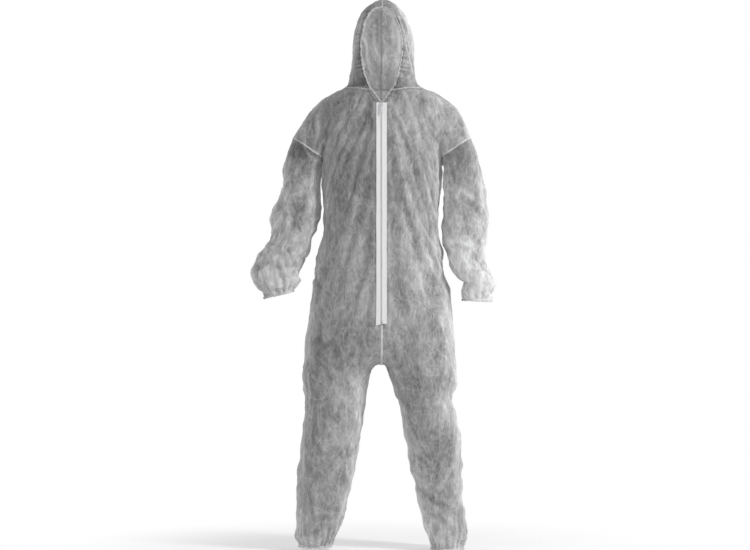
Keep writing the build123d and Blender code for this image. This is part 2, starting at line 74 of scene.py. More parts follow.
# Limbs: z, inner distance from x = 0, outer distance, front y, back y, squareness
ARM_LEFT = [
    (1424, 150, 205, -22, 22, 2.0), (1410, 140, 232, -42, 42, 2.0), (1384, 140, 255, -56, 56, 2.0),
    (1359, 145, 268, -64, 64, 2.0), (1333, 150, 280, -68, 70, 2.0), (1308, 158, 289, -72, 75, 2.0),
    (1283, 176, 299, -75, 78, 2.0), (1262, 196, 308, -77, 79, 2.0), (1240, 213, 316, -77, 80, 2.1),
    (1206, 216, 325, -76, 79, 2.1), (1156, 216, 335, -74, 76, 2.1), (1105, 213, 339, -76, 72, 2.1),
    (1054, 208, 341, -78, 67, 2.1), (1003, 206, 338, -80, 60, 2.1), (978, 210, 332, -81, 56, 2.1),
    (952, 221, 328, -82, 53, 2.1), (920, 222, 332, -86, 48, 2.1), (902, 225, 336, -87, 45, 2.1),
    (876, 238, 350, -90, 42, 2.1), (851, 256, 356, -89, 40, 2.1), (826, 253, 353, -85, 36, 2.1),
    (808, 256, 347, -76, 26, 2.0), (796, 259, 346, -70, 19, 2.0), (787, 260, 345, -68, 16, 2.0),
    (770, 260, 344, -68, 16, 2.0),
]
ARM_RIGHT = [
    (1424, 150, 192, -22, 22, 2.0), (1410, 140, 212, -42, 42, 2.0), (1384, 140, 233, -56, 56, 2.0),
    (1359, 145, 252, -64, 64, 2.0), (1333, 150, 268, -68, 70, 2.0), (1308, 158, 284, -72, 75, 2.0),
    (1283, 176, 294, -75, 78, 2.0), (1262, 196, 302, -77, 79, 2.0), (1240, 212, 308, -77, 80, 2.1),
    (1206, 214, 313, -76, 79, 2.1), (1181, 214, 309, -75, 77, 2.1), (1156, 214, 313, -74, 76, 2.1),
    (1130, 214, 320, -75, 74, 2.1), (1105, 212, 332, -76, 72, 2.1), (1080, 212, 350, -77, 70, 2.1),
    (1054, 211, 356, -79, 67, 2.1), (1003, 220, 351, -83, 60, 2.1), (978, 228, 354, -84, 57, 2.1),
    (952, 237, 374, -86, 53, 2.1), (927, 243, 391, -89, 50, 2.1), (902, 249, 398, -91, 47, 2.1),
    (876, 258, 404, -93, 45, 2.1), (851, 262, 401, -92, 43, 2.1), (832, 271, 391, -86, 36, 2.05),
    (815, 281, 374, -74, 22, 2.0), (806, 281, 368, -70, 16, 2.0), (780, 281, 367, -70, 16, 2.0),
]
LEG_LEFT = [
    (640, 20, 226, -118, 118, 2.3), (600, 14, 234, -124, 122, 2.4), (571, 17, 236, -121, 120, 2.3),
    (546, 24, 238, -117, 118, 2.3), (521, 33, 236, -113, 115, 2.2), (495, 43, 222, -110, 112, 2.2),
    (470, 55, 218, -108, 108, 2.2), (444, 62, 227, -106, 105, 2.2), (419, 68, 236, -108, 103, 2.2),
    (394, 75, 238, -110, 100, 2.2), (368, 81, 243, -108, 98, 2.2), (343, 85, 254, -98, 96, 2.2),
    (318, 94, 253, -93, 94, 2.2), (292, 101, 252, -90, 93, 2.2), (267, 106, 252, -88, 92, 2.2),
    (241, 113, 252, -85, 92, 2.2), (216, 119, 252, -82, 92, 2.2), (190, 122, 255, -80, 91, 2.2),
    (165, 125, 256, -78, 90, 2.2), (140, 129, 261, -76, 88, 2.2), (114, 132, 265, -74, 85, 2.2),
    (89, 135, 268, -72, 82, 2.2), (64, 141, 271, -70, 78, 2.2), (38, 148, 271, -66, 73, 2.1),
    (22, 153, 262, -58, 65, 2.0), (10, 158, 258, -49, 57, 2.0), (0, 159, 257, -46, 54, 2.0),
    (-16, 159, 257, -46, 54, 2.0),
]
LEG_RIGHT = [
    (640, 20, 236, -118, 118, 2.3), (600, 22, 243, -124, 122, 2.4), (571, 30, 246, -121, 120, 2.3),
    (546, 40, 249, -117, 118, 2.3), (521, 46, 246, -113, 115, 2.2), (495, 52, 240, -110, 112, 2.2),
    (470, 56, 240, -108, 108, 2.2), (444, 59, 237, -106, 105, 2.2), (419, 62, 240, -108, 103, 2.2),
    (394, 68, 243, -110, 100, 2.2), (368, 75, 246, -109, 98, 2.2), (343, 78, 252, -99, 96, 2.2),
    (318, 82, 255, -94, 94, 2.2), (292, 87, 256, -90, 93, 2.2), (267, 91, 259, -88, 92, 2.2),
    (241, 94, 265, -85, 92, 2.2), (216, 100, 265, -82, 92, 2.2), (190, 104, 265, -80, 91, 2.2),
    (165, 113, 265, -78, 90, 2.2), (140, 119, 265, -76, 88, 2.2), (114, 125, 265, -74, 85, 2.2),
    (89, 132, 265, -72, 82, 2.2), (64, 138, 268, -70, 78, 2.2), (38, 147, 274, -67, 74, 2.1),
    (24, 153, 264, -58, 65, 2.0), (15, 158, 260, -49, 57, 2.0), (7, 159, 259, -46, 54, 2.0),
    (-10, 159, 259, -46, 54, 2.0),
]
ARMS = (ARM_LEFT, ARM_RIGHT)
LEGS = (LEG_LEFT, LEG_RIGHT)
# Edge of the face opening: x, z
FACE = [
    (-2, 1709), (14, 1706), (27, 1698), (38, 1685), (47, 1668), (57, 1640), (64, 1606), (65, 1584),
    (61, 1545), (56, 1515), (47, 1484), (40, 1464), (31, 1450), (21, 1436), (10, 1420), (2, 1406),
    (-1, 1404), (-4, 1406), (-12, 1421), (-23, 1438), (-33, 1452), (-42, 1466), (-49, 1486),
    (-57, 1515), (-62, 1545), (-65, 1584), (-64, 1606), (-58, 1640), (-49, 1668), (-40, 1685),
    (-30, 1698), (-17, 1706),
]
# Cuff planes: centre (mm), lean (degrees), then gathers: folds round, depth and reach up (m)
CUFFS = {
    "wrist_left": ((302.0, -26.0, 787.0), 2.0, 17, 0.0034, 0.055),
    "wrist_right": ((-324.0, -27.0, 806.0), -14.0, 18, 0.0036, 0.060),
    "ankle_left": ((209.0, 4.0, 0.0), 0.0, 21, 0.0030, 0.048),
    "ankle_right": ((-209.0, 4.0, 7.0), 0.0, 22, 0.0030, 0.050),
}
# ---------------------------------------------------------------- lengths, metres
VOXEL = 0.0085
# The line that parts a sleeve from the trunk: z, x
ARM_LINE = np.array([
    (0.78, 0.24), (0.80, 0.24), (0.851, 0.235), (0.902, 0.213), (0.952, 0.209), (0.978, 0.2005),
    (1.003, 0.1965), (1.10, 0.201), (1.20, 0.204), (1.25, 0.206), (1.27, 0.206),
]).T
# Zones where the cloth bends at a joint; ELBOW, KNEE and HOOD_ZONE give start z and end z
ARM_DIR = np.array([0.59, 0, -0.81]) / math.hypot(0.59, 0.81)
ARM_START = np.array([0.250, 0, 1.286])
ARM_ZONE = 0.12
HIP_DIR = np.array([0.753, 0, -0.657]) / math.hypot(0.753, 0.657)
HIP_START = np.array([0.0, 0, 0.585])
HIP_ZONE = 0.135
ELBOW = (1.10, 0.955)
KNEE = (0.445, 0.30)
HOOD_ZONE = (1.472, 1.67)
WAIST_Z = 1.006
# The zip's top end, its lean forward going down, and its directions
ZIP_TOP = np.array([0, -0.115, 1.4065])
ZIP_LEAN = math.atan(0.04396)
ZIP_LENGTH = 0.683
ZIP_DOWN = np.array([0, -math.sin(ZIP_LEAN), -math.cos(ZIP_LEAN)])
ZIP_OUT = np.array([0, -math.cos(ZIP_LEAN), math.sin(ZIP_LEAN)])


# ---------------------------------------------------------------- small helpers
def rise(value, start, end):
    """Smooth step from 0 at start to 1 at end."""
    part = np.clip((value - start) / (end - start), 0, 1)
    return part * part * (3 - 2 * part)


def fall(value, start, end):
    return 1 - rise(value, start, end)


def noise_at(x, y, z):
    return noise.noise(Vector((x, y, z)))


def ridged(sharpness, x, y, z):
    """1 along thin ridges of noise, falling away at their sides."""
    return 1 - abs(noise_at(x, y, z)) * sharpness


def sampled(points, pattern):
    return np.array([pattern(*point) for point in points.tolist()])


def configure(target, **values):
    for name, value in values.items():
        setattr(target, name, value)


def lengths(vectors):
    return np.linalg.norm(vectors, axis=1)[:, None]


def ring_quads(rings, size, base=0, closed=False):
    """Quads between successive rings of points; closed joins the last ring to the first."""
    faces = []
    for i in range(rings if closed else rings - 1):
        near, far = base + i * size, base + (i + 1) % rings * size
        for j in range(size):
            k = (j + 1) % size
            faces.append((near + j, near + k, far + k, far + j))
    return faces


def end_caps(rings, size, base=0):
    last = base + (rings - 1) * size
    return [tuple(range(base, base + size))[::-1], tuple(range(last, last + size))]


def new_mesh(name, points, faces):
    mesh = bpy.data.meshes.new(name)
    mesh.from_pydata(np.asarray(points, float).tolist(), [], faces)
    mesh.update()
    return mesh


def link(name, mesh):
    obj = bpy.data.objects.new(name, mesh)
    scene.collection.objects.link(obj)
    return obj


def vertex_values(mesh, name):
    values = np.empty(len(mesh.vertices) * 3, np.float32)
    mesh.vertices.foreach_get(name, values)
    return values.reshape(-1, 3).astype(float)


def coords(mesh):
    return vertex_values(mesh, "co")


def normals_of(points, faces):
    mesh = new_mesh("normals", points, faces)
    normals = vertex_values(mesh, "normal")
    bpy.data.meshes.remove(mesh)
    return normals


def edges_of(mesh):
    edges = np.empty(len(mesh.edges) * 2, np.int32)
    mesh.edges.foreach_get("vertices", edges)
    return edges.reshape(-1, 2)


def faces_of(mesh):
    return [tuple(face.vertices) for face in mesh.polygons]


def baked(obj):
    """The object's mesh with its modifiers applied; the object goes."""
    graph = bpy.context.evaluated_depsgraph_get()
    mesh = bpy.data.meshes.new_from_object(obj.evaluated_get(graph), depsgraph=graph)
    bpy.data.objects.remove(obj)
    return mesh


def neighbour_mean(values, edges):
    total = len(values)
    count = np.bincount(edges.ravel(), minlength=total).astype(float)[:, None]
    count[count == 0] = 1
    sums = np.zeros_like(values)
    for c in range(values.shape[1]):
        sums[:, c] = (np.bincount(edges[:, 0], values[edges[:, 1], c], total)
                      + np.bincount(edges[:, 1], values[edges[:, 0], c], total))
    return sums / count


def relaxed(mesh, times, inward=0.55, outward=-0.57):
    """Smoothed coordinates that keep the size: each turn moves points in, then back out."""
    points, edges = coords(mesh), edges_of(mesh)
    for _ in range(times):
        for share in (inward, outward):
            points = points + share * (neighbour_mean(points, edges) - points)
    return points


def blur(values, edges, times):
    for _ in range(times):
        values = 0.5 * values + 0.5 * neighbour_mean(values, edges)
    return values


# ---------------------------------------------------------------- the worn shape
ROW_STEP = 8.0  # mm
TUBE_SEGMENTS = 72
SMALLEST_HALF = 2.0  # mm, least half width and half depth of an inset tube


def smooth_rows(rows):
    """The rows at an even spacing, monotone cubic in every column."""
    table = np.array(sorted(rows), float)
    z = table[:, 0]
    heights = np.linspace(z[0], z[-1], math.ceil((z[-1] - z[0]) / ROW_STEP) + 1)
    index = np.clip(np.searchsorted(z, heights, side="right") - 1, 0, len(z) - 2)
    gap = z[index + 1] - z[index]
    part = (heights - z[index]) / gap
    columns = [heights]
    for value in table.T[1:]:
        slope = np.diff(value) / np.diff(z)
        tangent = np.zeros(len(value))
        tangent[0], tangent[-1] = slope[0], slope[-1]
        for k in range(1, len(value) - 1):
            if slope[k - 1] * slope[k] > 0:
                tangent[k] = 2 * slope[k - 1] * slope[k] / (slope[k - 1] + slope[k])
        columns.append(
            value[index] * (1 + 2 * part) * (1 - part) ** 2
            + tangent[index] * gap * part * (1 - part) ** 2
            + value[index + 1] * part * part * (3 - 2 * part)
            - tangent[index + 1] * gap * part * part * (1 - part))
    return np.array(columns).T


def limb_rows(table, side):
    """Limb rows in the trunk's column layout; side is 1 for +X, -1 for -X."""
    z, inner, outer, *others = smooth_rows(table).T
    reaches = (-inner, outer) if side > 0 else (outer, -inner)
    return np.column_stack([z, *reaches, *others])


def tube_mesh(rows, inset):
    """A closed tube through rows in millimetres, out in metres."""
    turn = np.linspace(0, 2 * np.pi, TUBE_SEGMENTS, endpoint=False)
    cosine, sine = np.cos(turn), np.sin(turn)
    rings = []
    for z, right, left, front, back, square in rows:
        half_width = max((left + right) / 2 - inset, SMALLEST_HALF)
        half_depth = max((back - front) / 2 - inset, SMALLEST_HALF)
        x = (left - right) / 2 + half_width * np.sign(cosine) * np.abs(cosine) ** (2 / square)
        y = (front + back) / 2 + half_depth * np.sign(sine) * np.abs(sine) ** (2 / square)
        rings.append(np.stack([x, y, np.full(TUBE_SEGMENTS, z)], 1))
    size = (len(rows), TUBE_SEGMENTS)
    return np.concatenate(rings) / 1000, ring_quads(*size) + end_caps(*size)


def body_solid(inset, voxel):
    """The whole worn shape as one closed skin, inset by so many millimetres."""
    points, faces, base = [], [], 0
    sections = [smooth_rows(TRUNK)]
    for left, right in (ARMS, LEGS):
        sections += [limb_rows(left, 1), limb_rows(right, -1)]
    for rows in sections:
        tube_points, tube_faces = tube_mesh(rows, inset)
        points.append(tube_points)
        faces += [tuple(i + base for i in face) for face in tube_faces]
        base += len(tube_points)
    obj = link("skin", new_mesh("skin", np.concatenate(points), faces))
    configure(obj.modifiers.new("remesh", "REMESH"),
              mode="VOXEL", voxel_size=voxel, adaptivity=0.0)
    return baked(obj)


# ---------------------------------------------------------------- skins and lines
class Columns:
    """Rows of columns: place now (0:3), place before draping (3:6), normal (6:9), tone (9)."""

    @property
    def now(self):
        return self.points[:, :3]

    @property
    def rest(self):
        return self.points[:, 3:6]

    @property
    def normal(self):
        return self.points[:, 6:9]


class Line(Columns):
    def __init__(self, points, closed):
        self.points = points
        self.closed = closed


def edge_key(i, j):
    return (i, j) if i < j else (j, i)


def between(values, level, key):
    """The row where the level crosses 0 on the edge."""
    i, j = key
    weight = abs(level[i]) / (abs(level[i]) + abs(level[j]))
    return values[i] * (1 - weight) + values[j] * weight


def compact(faces):
    """The vertex numbers in use, and the faces numbered by them."""
    used = np.unique(np.fromiter((i for face in faces for i in face), int))
    place = np.full(used[-1] + 1, -1)
    place[used] = np.arange(len(used))
    return used, [tuple(place[list(face)].tolist()) for face in faces]


class Skin(Columns):
    """A skin as arrays, with a label on every face."""

    def __init__(self, now, rest, faces):
        self.points = np.hstack([now, rest])
        self.faces = list(faces)
        self.label = np.zeros(len(faces), int)

    def layout(self):
        """All face corners in a row, each face's first corner, and its corner count."""
        size = np.fromiter((len(face) for face in self.faces), int, len(self.faces))
        first = np.concatenate([[0], np.cumsum(size)[:-1]])
        corner = np.fromiter((i for face in self.faces for i in face), int, int(size.sum()))
        return corner, first, size

    def centres(self):
        corner, first, size = self.layout()
        return np.add.reduceat(self.rest[corner], first, axis=0) / size[:, None]

    def cut(self, field, allow, new_label=None):
        """Split the allowed faces along field = 0; those above 0 take the new label, if given."""
        level = field.copy()
        corner, first, size = self.layout()
        allowed = allow(self.centres(), self.label)
        face_of = np.repeat(np.arange(len(size)), size)
        follow = np.arange(len(corner)) + 1
        follow[first + size - 1] = first
        tail, head = corner, corner[follow]

        def crossed():
            return (level[tail] * level[head] < 0) & allowed[face_of]

        # vertices very near the line are taken to lie on it
        for _ in range(2):
            cross = crossed()
            begin, end = np.abs(level[tail[cross]]), np.abs(level[head[cross]])
            part = begin / (begin + end)
            level[tail[cross][part < 0.2]] = 0
            level[head[cross][part > 0.8]] = 0
        cross = crossed()
        made, extra = {}, []
        for i, j in zip(tail[cross].tolist(), head[cross].tolist()):
            key = edge_key(i, j)
            if key not in made:
                made[key] = len(self.points) + len(extra)
                extra.append(between(self.points, level, key))
        # faces beside a split edge get the new corner too, even where no cut is allowed
        factor = len(level) + 1
        codes = np.array([i * factor + j for i, j in made])
        touched = np.zeros(len(size), bool)
        edge_codes = np.minimum(tail, head) * factor + np.maximum(tail, head)
        touched[face_of[np.isin(edge_codes, codes)]] = True
        high = np.maximum.reduceat(level[corner], first)
        low = np.minimum.reduceat(level[corner], first)
        touched |= allowed & (high > 0) & (low < 0)
        added = np.array(extra).reshape(len(extra), self.points.shape[1])
        self.points = np.vstack([self.points, added])
        level = np.concatenate([level, np.zeros(len(extra))])
        new_faces, new_labels = [], []
        for n in np.nonzero(touched)[0].tolist():
            ring = self.ring_with(self.faces[n], made)
            self.faces[n] = tuple(ring)
            ends = self.split_ends(ring, level) if allowed[n] else None
            if ends is not None:
                start, stop = ends
                self.faces[n] = tuple(ring[start:stop + 1])
                new_faces.append(tuple(ring[stop:] + ring[:start + 1]))
                new_labels.append(self.label[n])
        self.faces += new_faces
        self.label = np.concatenate([self.label, np.array(new_labels, self.label.dtype)])
        if new_label is not None:
            allowed = np.concatenate([allowed, np.ones(len(new_faces), bool)])
            corner, first, size = self.layout()
            self.label[allowed & (np.add.reduceat(level[corner], first) > 0)] = new_label

    @staticmethod
    def ring_with(face, made):
        ring = []
        for i, j in zip(face, face[1:] + face[:1]):
            ring.append(i)
            middle = made.get(edge_key(i, j))
            if middle is not None:
                ring.append(middle)
        return ring

    @staticmethod
    def split_ends(ring, level):
        """The two places in the ring between which the face is split, or None."""
        on_line = [k for k, i in enumerate(ring) if level[i] == 0]
        count = len(ring)
        for i in on_line:
            for j in on_line:
                if j - i <= 1 or (i == 0 and j == count - 1):
                    continue
                if np.sign(level[ring[i + 1]]) * np.sign(level[ring[(j + 1) % count]]) < 0:
                    return i, j
        return None

    def drop(self, label):
        keep = self.label != label
        self.label = self.label[keep]
        used, self.faces = compact([face for face, kept in zip(self.faces, keep) if kept])
        self.points = self.points[used]


def chains(pairs, points):
    """Joins pairs of point numbers into lines, the longest first."""
    links = {}
    for i, j in pairs:
        links.setdefault(i, []).append(j)
        links.setdefault(j, []).append(i)
    lines, seen = [], set()
    for start in [k for k, others in links.items() if len(others) == 1] + list(links):
        if start in seen:
            continue
        path = [start]
        seen.add(start)
        while True:
            step = [k for k in links[path[-1]] if k not in seen]
            if not step:
                break
            seen.add(step[0])
            path.append(step[0])
        if len(path) > 3:
            closed = path[0] in links[path[-1]] and len(path) > 8
            lines.append(Line(np.array([points[k] for k in path]), closed))
    return sorted(lines, key=lambda line: -len(line.points))


def trace(skin, field, allowed):
    """The lines where the field is 0 on the allowed faces."""
    level = np.where(np.abs(field) < 1e-9, 1e-9, field)
    corner, first, _ = skin.layout()
    high = np.maximum.reduceat(level[corner], first)
    low = np.minimum.reduceat(level[corner], first)
    numbers, points, pairs = {}, [], []
    for n in np.nonzero(allowed & (high > 0) & (low < 0))[0].tolist():
        face, hits = skin.faces[n], []
        for i, j in zip(face, face[1:] + face[:1]):
            if level[i] * level[j] < 0:
                key = edge_key(i, j)
                if key not in numbers:
                    numbers[key] = len(points)
                    points.append(between(skin.points, level, key))
                hits.append(numbers[key])
        pairs += zip(hits[::2], hits[1::2])
    return chains(pairs, points)


def distance_along(points):
    return np.concatenate([[0], np.cumsum(np.linalg.norm(np.diff(points, axis=0), axis=1))])


def even(line, step, smooth=2):
    """The line again with evenly spaced points."""
    points = line.points
    if line.closed:
        points = np.vstack([points, points[:1]])
    distance = distance_along(points[:, :3])
    count = max(4, int(round(distance[-1] / step)))
    places = np.linspace(0, distance[-1], count + 1)
    result = np.stack([np.interp(places, distance, column) for column in points.T], 1)
    if line.closed:
        result = result[:-1]
    for _ in range(smooth):
        if line.closed:
            result = 0.5 * result + 0.25 * (np.roll(result, 1, 0) + np.roll(result, -1, 0))
        else:
            result[1:-1] = 0.5 * result[1:-1] + 0.25 * (result[:-2] + result[2:])
    result[:, 6:9] /= lengths(result[:, 6:9]) + 1e-9
    return Line(result, line.closed)


def part_of(line, mask):
    """The stretch of the line where the mask is true."""
    points = line.points
    if line.closed and not mask.all() and mask.any():
        start = int(np.nonzero(mask & ~np.roll(mask, 1))[0][0])
        points, mask = np.roll(points, -start, axis=0), np.roll(mask, -start)
    return Line(points[mask], line.closed and bool(mask.all()))


# ---------------------------------------------------------------- places on the body
def outline_distance(points, ring):
    """Signed distance in the plane to a closed outline, positive outside."""
    best = np.full(len(points), 1e9)
    inside = np.zeros(len(points), bool)
    for start, end in zip(ring, np.roll(ring, -1, axis=0)):
        span = end - start
        part = np.clip(((points - start) @ span) / (span @ span), 0, 1)
        best = np.minimum(best, np.linalg.norm(points - start - part[:, None] * span, axis=1))
        spans = (start[1] > points[:, 1]) != (end[1] > points[:, 1])
        with np.errstate(divide="ignore", invalid="ignore"):
            x = (end[0] - start[0]) * (points[:, 1] - start[1]) / (end[1] - start[1]) + start[0]
        inside ^= spans & (points[:, 0] < x)
    return np.where(inside, -best, best)


def round_outline(points):
    """Corner cutting, three times over, so the outline runs smoothly."""
    ring = np.array(points, float)
    for _ in range(3):
        after = np.roll(ring, -1, axis=0)
        ring = np.stack([0.75 * ring + 0.25 * after, 0.25 * ring + 0.75 * after], 1)
        ring = ring.reshape(-1, 2)
    return ring


FACE_RING = round_outline(FACE) / 1000


def at_face(rest):
    return (rest[:, 1] < -0.03) & (rest[:, 2] > 1.38)


def face_field(rest):
    return np.where(at_face(rest), outline_distance(rest[:, [0, 2]], FACE_RING), 0.2)


def cuff_plane(key):
    """The cuff's centre in metres and its direction up the limb."""
    centre, lean = CUFFS[key][:2]
    angle = math.radians(lean)
    return np.array(centre) / 1000, np.array([math.sin(angle), 0, math.cos(angle)])


def level_distance(points, centre):
    return np.linalg.norm((points - centre)[:, :2], axis=1)


def is_arm(rest):
    return (np.abs(rest[:, 0]) > np.interp(rest[:, 2], *ARM_LINE)) & (rest[:, 2] > 0.765)


def same_limb(rest, centre):
    """True at an ankle cuff (its centre is low) and, for a wrist cuff, on the sleeves."""
    return (centre[2] < 0.1) | is_arm(rest)


def neck_field(rest):
    x, y, z = rest.T
    front = fall(y, -0.07, 0.02)
    return z - (1.464 - 0.007 * front - 0.008 * front * fall(np.abs(x), 0.03, 0.10))


def arm_field(rest):
    """Distance down the arm's direction, from the armhole."""
    x, _, z = rest.T
    return (np.abs(x) - ARM_START[0]) * ARM_DIR[0] + (z - ARM_START[2]) * ARM_DIR[2]


def leg_field(rest):
    x, _, z = rest.T
    return np.abs(x) * HIP_DIR[0] + (z - HIP_START[2]) * HIP_DIR[2] + 0.010


def centre_field(rest):
    return rest[:, 0] - 0.002 * rise(rest[:, 2], 1.47, 1.60)


def limb_middle(rest, tables, column):
    """Middle of two neighbouring table columns at each point's height, on its own side."""
    middles = []
    for table in tables:
        rows = np.array(sorted(table), float) / 1000
        middle = (rows[:, column] + rows[:, column + 1]) / 2
        middles.append(np.interp(rest[:, 2], rows[:, 0], middle))
    return np.where(rest[:, 0] > 0, *middles)


# ---------------------------------------------------------------- opening and draping
CUT_AWAY = 99
DRAPE_FRAMES = 22

body = body_solid(0.0, VOXEL)
worn = relaxed(body, 10)
skin = Skin(worn, worn, faces_of(body))
skin.cut(-face_field(skin.rest), lambda middle, label: at_face(middle), CUT_AWAY)
for key in CUFFS:
    centre, up = cuff_plane(key)
    skin.cut(-(skin.rest - centre) @ up, lambda middle, label: (
        (level_distance(middle, centre) < 0.12) & (np.abs((middle - centre) @ up) < 0.05)
        & same_limb(middle, centre)), CUT_AWAY)
skin.drop(CUT_AWAY)


def hold_weights(rest):
    """How firmly each vertex keeps its place while draping, 0 to 1."""
    x, y, z = rest.T
    zip_band = (y < -0.03) & (z > 0.60) & (z < 1.45)
    fork = fall(np.abs(x), 0.03, 0.09) * fall(z, 0.62, 0.68) * (z > 0.53)
    holds = [
        np.full(len(rest), 0.06),
        np.where(zip_band, fall(np.abs(x), 0.016, 0.030), 0),
        fall(np.abs(face_field(rest)), 0.004, 0.016),
        0.12 * rise(z, 1.40, 1.46),  # hood
        0.45 * fall(np.abs(z - 1.458), 0.004, 0.020),  # neck seam
        0.35 * fall(z, 0.0, 0.05),  # leg ends
        0.6 * fork,
    ]
    for key in CUFFS:
        centre, up = cuff_plane(key)
        height = (rest - centre) @ up
        near = (level_distance(rest, centre) < 0.12) & (height < 0.05)
        holds.append(np.where(near, fall(height, 0.005, 0.022), 0))
    return np.maximum.reduce(holds)


def weight_group(obj, name, weights, levels):
    """A vertex group with its weights rounded to so many levels."""
    group = obj.vertex_groups.new(name=name)
    level = np.round(weights * levels).astype(int)
    for value in np.unique(level):
        group.add(np.nonzero(level == value)[0].tolist(), float(value) / levels, "REPLACE")


def body_form():
    """The solid body, 15 mm inside the worn shape, that the cloth falls against."""
    mesh = body_solid(15.0, 0.014)
    form = link("form", mesh)
    points = np.ascontiguousarray(relaxed(mesh, 8), np.float32)
    mesh.vertices.foreach_set("co", points.ravel())
    mesh.update()
    form.modifiers.new("collision", "COLLISION")
    configure(form.collision, thickness_outer=0.002, cloth_friction=12.0, damping=0.6)
    return form


def drape(skin):
    """The skin's points after the cloth, a little crumpled and grown, settles on the body."""
    rest = skin.rest.copy()
    hold = hold_weights(rest)
    begin = skin.now.copy()
    crumple = sampled(begin, lambda x, y, z: (
        noise_at(x * 26, y * 26, z * 15) + 0.6 * noise_at(x * 55, y * 55 + 9, z * 40)))
    free = 1 - np.clip(hold * 1.4, 0, 1)
    begin += normals_of(begin, skin.faces) * (crumple * 0.0035 * free)[:, None]
    cloth = link("cloth", new_mesh("cloth", begin, skin.faces))
    weight_group(cloth, "pin", hold, 40)
    # extra cloth: most on the limbs, less on the hood, least where the cloth is held
    grow = np.where(is_arm(rest) | (rest[:, 2] < 0.56), 0.95, 0.75)
    grow = np.where(rest[:, 2] > 1.45, 0.45, grow)
    grow = np.where(hold > 0.6, 0.15, grow)
    weight_group(cloth, "grow", grow, 20)
    form = body_form()
    modifier = cloth.modifiers.new("cloth", "CLOTH")
    configure(modifier.settings, quality=5, mass=0.12, air_damping=2.5,
              tension_stiffness=22, compression_stiffness=22,
              shear_stiffness=9, bending_stiffness=0.35,
              tension_damping=12, compression_damping=12,
              shear_damping=8, bending_damping=0.6,
              vertex_group_mass="pin", pin_stiffness=1.0,
              vertex_group_shrink="grow", shrink_min=0.0, shrink_max=-0.085)
    configure(modifier.collision_settings, use_collision=True, distance_min=0.003,
              collision_quality=2, use_self_collision=False)
    scene.gravity = (0, 0, -3.2)
    for target in (scene, modifier.point_cache):
        configure(target, frame_start=1, frame_end=DRAPE_FRAMES)
    for n in range(1, DRAPE_FRAMES + 1):
        scene.frame_set(n)
        bpy.context.view_layer.update()
    points = coords(baked(cloth))
    bpy.data.objects.remove(form)
    scene.frame_set(1)
    return points


skin.points[:, :3] = drape(skin)


# ---------------------------------------------------------------- finer skin with relief
def finer(points, faces):
    obj = link("fine", new_mesh("fine", points, faces))
    obj.modifiers.new("fine", "SUBSURF").levels = 1
    return baked(obj)


def shape_front(now, rest):
    """Closes the fork to a narrow arch and lays the cloth against the back of the zip."""
    x, y, z = rest.T
    across = np.abs(x)
    fork = fall(across, 0.004, 0.060) * fall(z, 0.575, 0.66)
    now[:, 2] += 0.020 * fork * (z > 0.50)
    band = fall(across, 0.017, 0.034) * (y < -0.03)
    band *= rise(z, 0.690, 0.712) * fall(z, 1.405, 1.413)
    # a shallow channel takes the slider's back plate
    channel = 0.0028 * fall(across, 0.0085, 0.0160)
    zip_y = ZIP_TOP[1] - (ZIP_TOP[2] - now[:, 2]) * math.tan(ZIP_LEAN) + 0.0012 + channel
    now[:, 1] += (zip_y - now[:, 1]) * band


def cuff_gathers(key, now, rest):
    centre, up = cuff_plane(key)
    folds, depth, reach = CUFFS[key][2:]
    offset = now - centre
    height = offset @ up
    side = offset @ np.array([up[2], 0, -up[0]])
    angle = np.arctan2(offset[:, 1], side)
    near = (np.hypot(side, offset[:, 1]) < 0.11) & (height < 0.16) & same_limb(rest, centre)
    sway = 0.9 * np.sin(3 * angle + 1.3) + 0.6 * np.sin(5 * angle)
    wave = np.cos(folds * angle + sway * 1.6 + height * 18)
    wave += 0.5 * np.cos(round(folds * 0.6) * angle + 2.0 * sway - height * 25)
    fade = np.exp(-np.clip(height - 0.010, 0, 1) / reach) * rise(height, 0.0, 0.012)
    return np.where(near, wave * depth * fade, 0)


def face_gathers(rest):
    """Gathers where the face opening's elastic pulls."""
    x, _, z = rest.T
    distance = face_field(rest)
    pull = np.exp(-np.clip(distance - 0.004, 0, 1) / 0.016) * (distance < 0.07)
    strength = np.where(x < 0, rise(z, 1.47, 1.52) * fall(z, 1.66, 1.70),
                        rise(z, 1.41, 1.44) * fall(z, 1.58, 1.66))
    coarse = np.sin(z * 330 + 2.4 * np.sin(z * 70) + distance * 60)
    fine = np.sin(z * 690 + 2.0 * np.sin(z * 110))
    return pull * strength * (0.0026 * coarse + 0.0013 * fine)


def waist_gathers(rest):
    """A gathered hollow across the back at the waist."""
    x, y, z = rest.T
    back = rise(y, 0.02, 0.06) * np.exp(-((z - WAIST_Z) / 0.030) ** 2) * ~is_arm(rest)
    return back * (0.0030 * np.sin(x * 300 + 2.0 * np.sin(x * 47)) - 0.004)


def crinkle(x, y, z):
    """Sharp little ridges, such as stiff nonwoven keeps after it has been folded."""
    bend = noise_at(x * 20, y * 20, z * 11)
    bend2 = noise_at(x * 20 + 31, y * 20, z * 11)
    wide = ridged(2.6, x * 30 + bend * 1.3, y * 30 + bend2 * 1.3, z * 17 + bend)
    small = ridged(2.6, x * 58 + bend2 * 2 + 5, y * 58, z * 36 + bend * 2)
    return max(wide, -0.2) ** 3, max(small, -0.2) ** 3, bend


def crease(x, y, z):
    """Long sharp creases between flatter facets, as in cloth that was packed folded."""
    bend = noise_at(x * 5, y * 5 + 4, z * 3.5)
    bend2 = noise_at(x * 5 + 17, y * 5, z * 3.5)
    return max(ridged(4.2, x * 9.5 + bend * 1.8, y * 9.5 + bend2, z * 6.5 + bend2 * 1.8), -0.35)


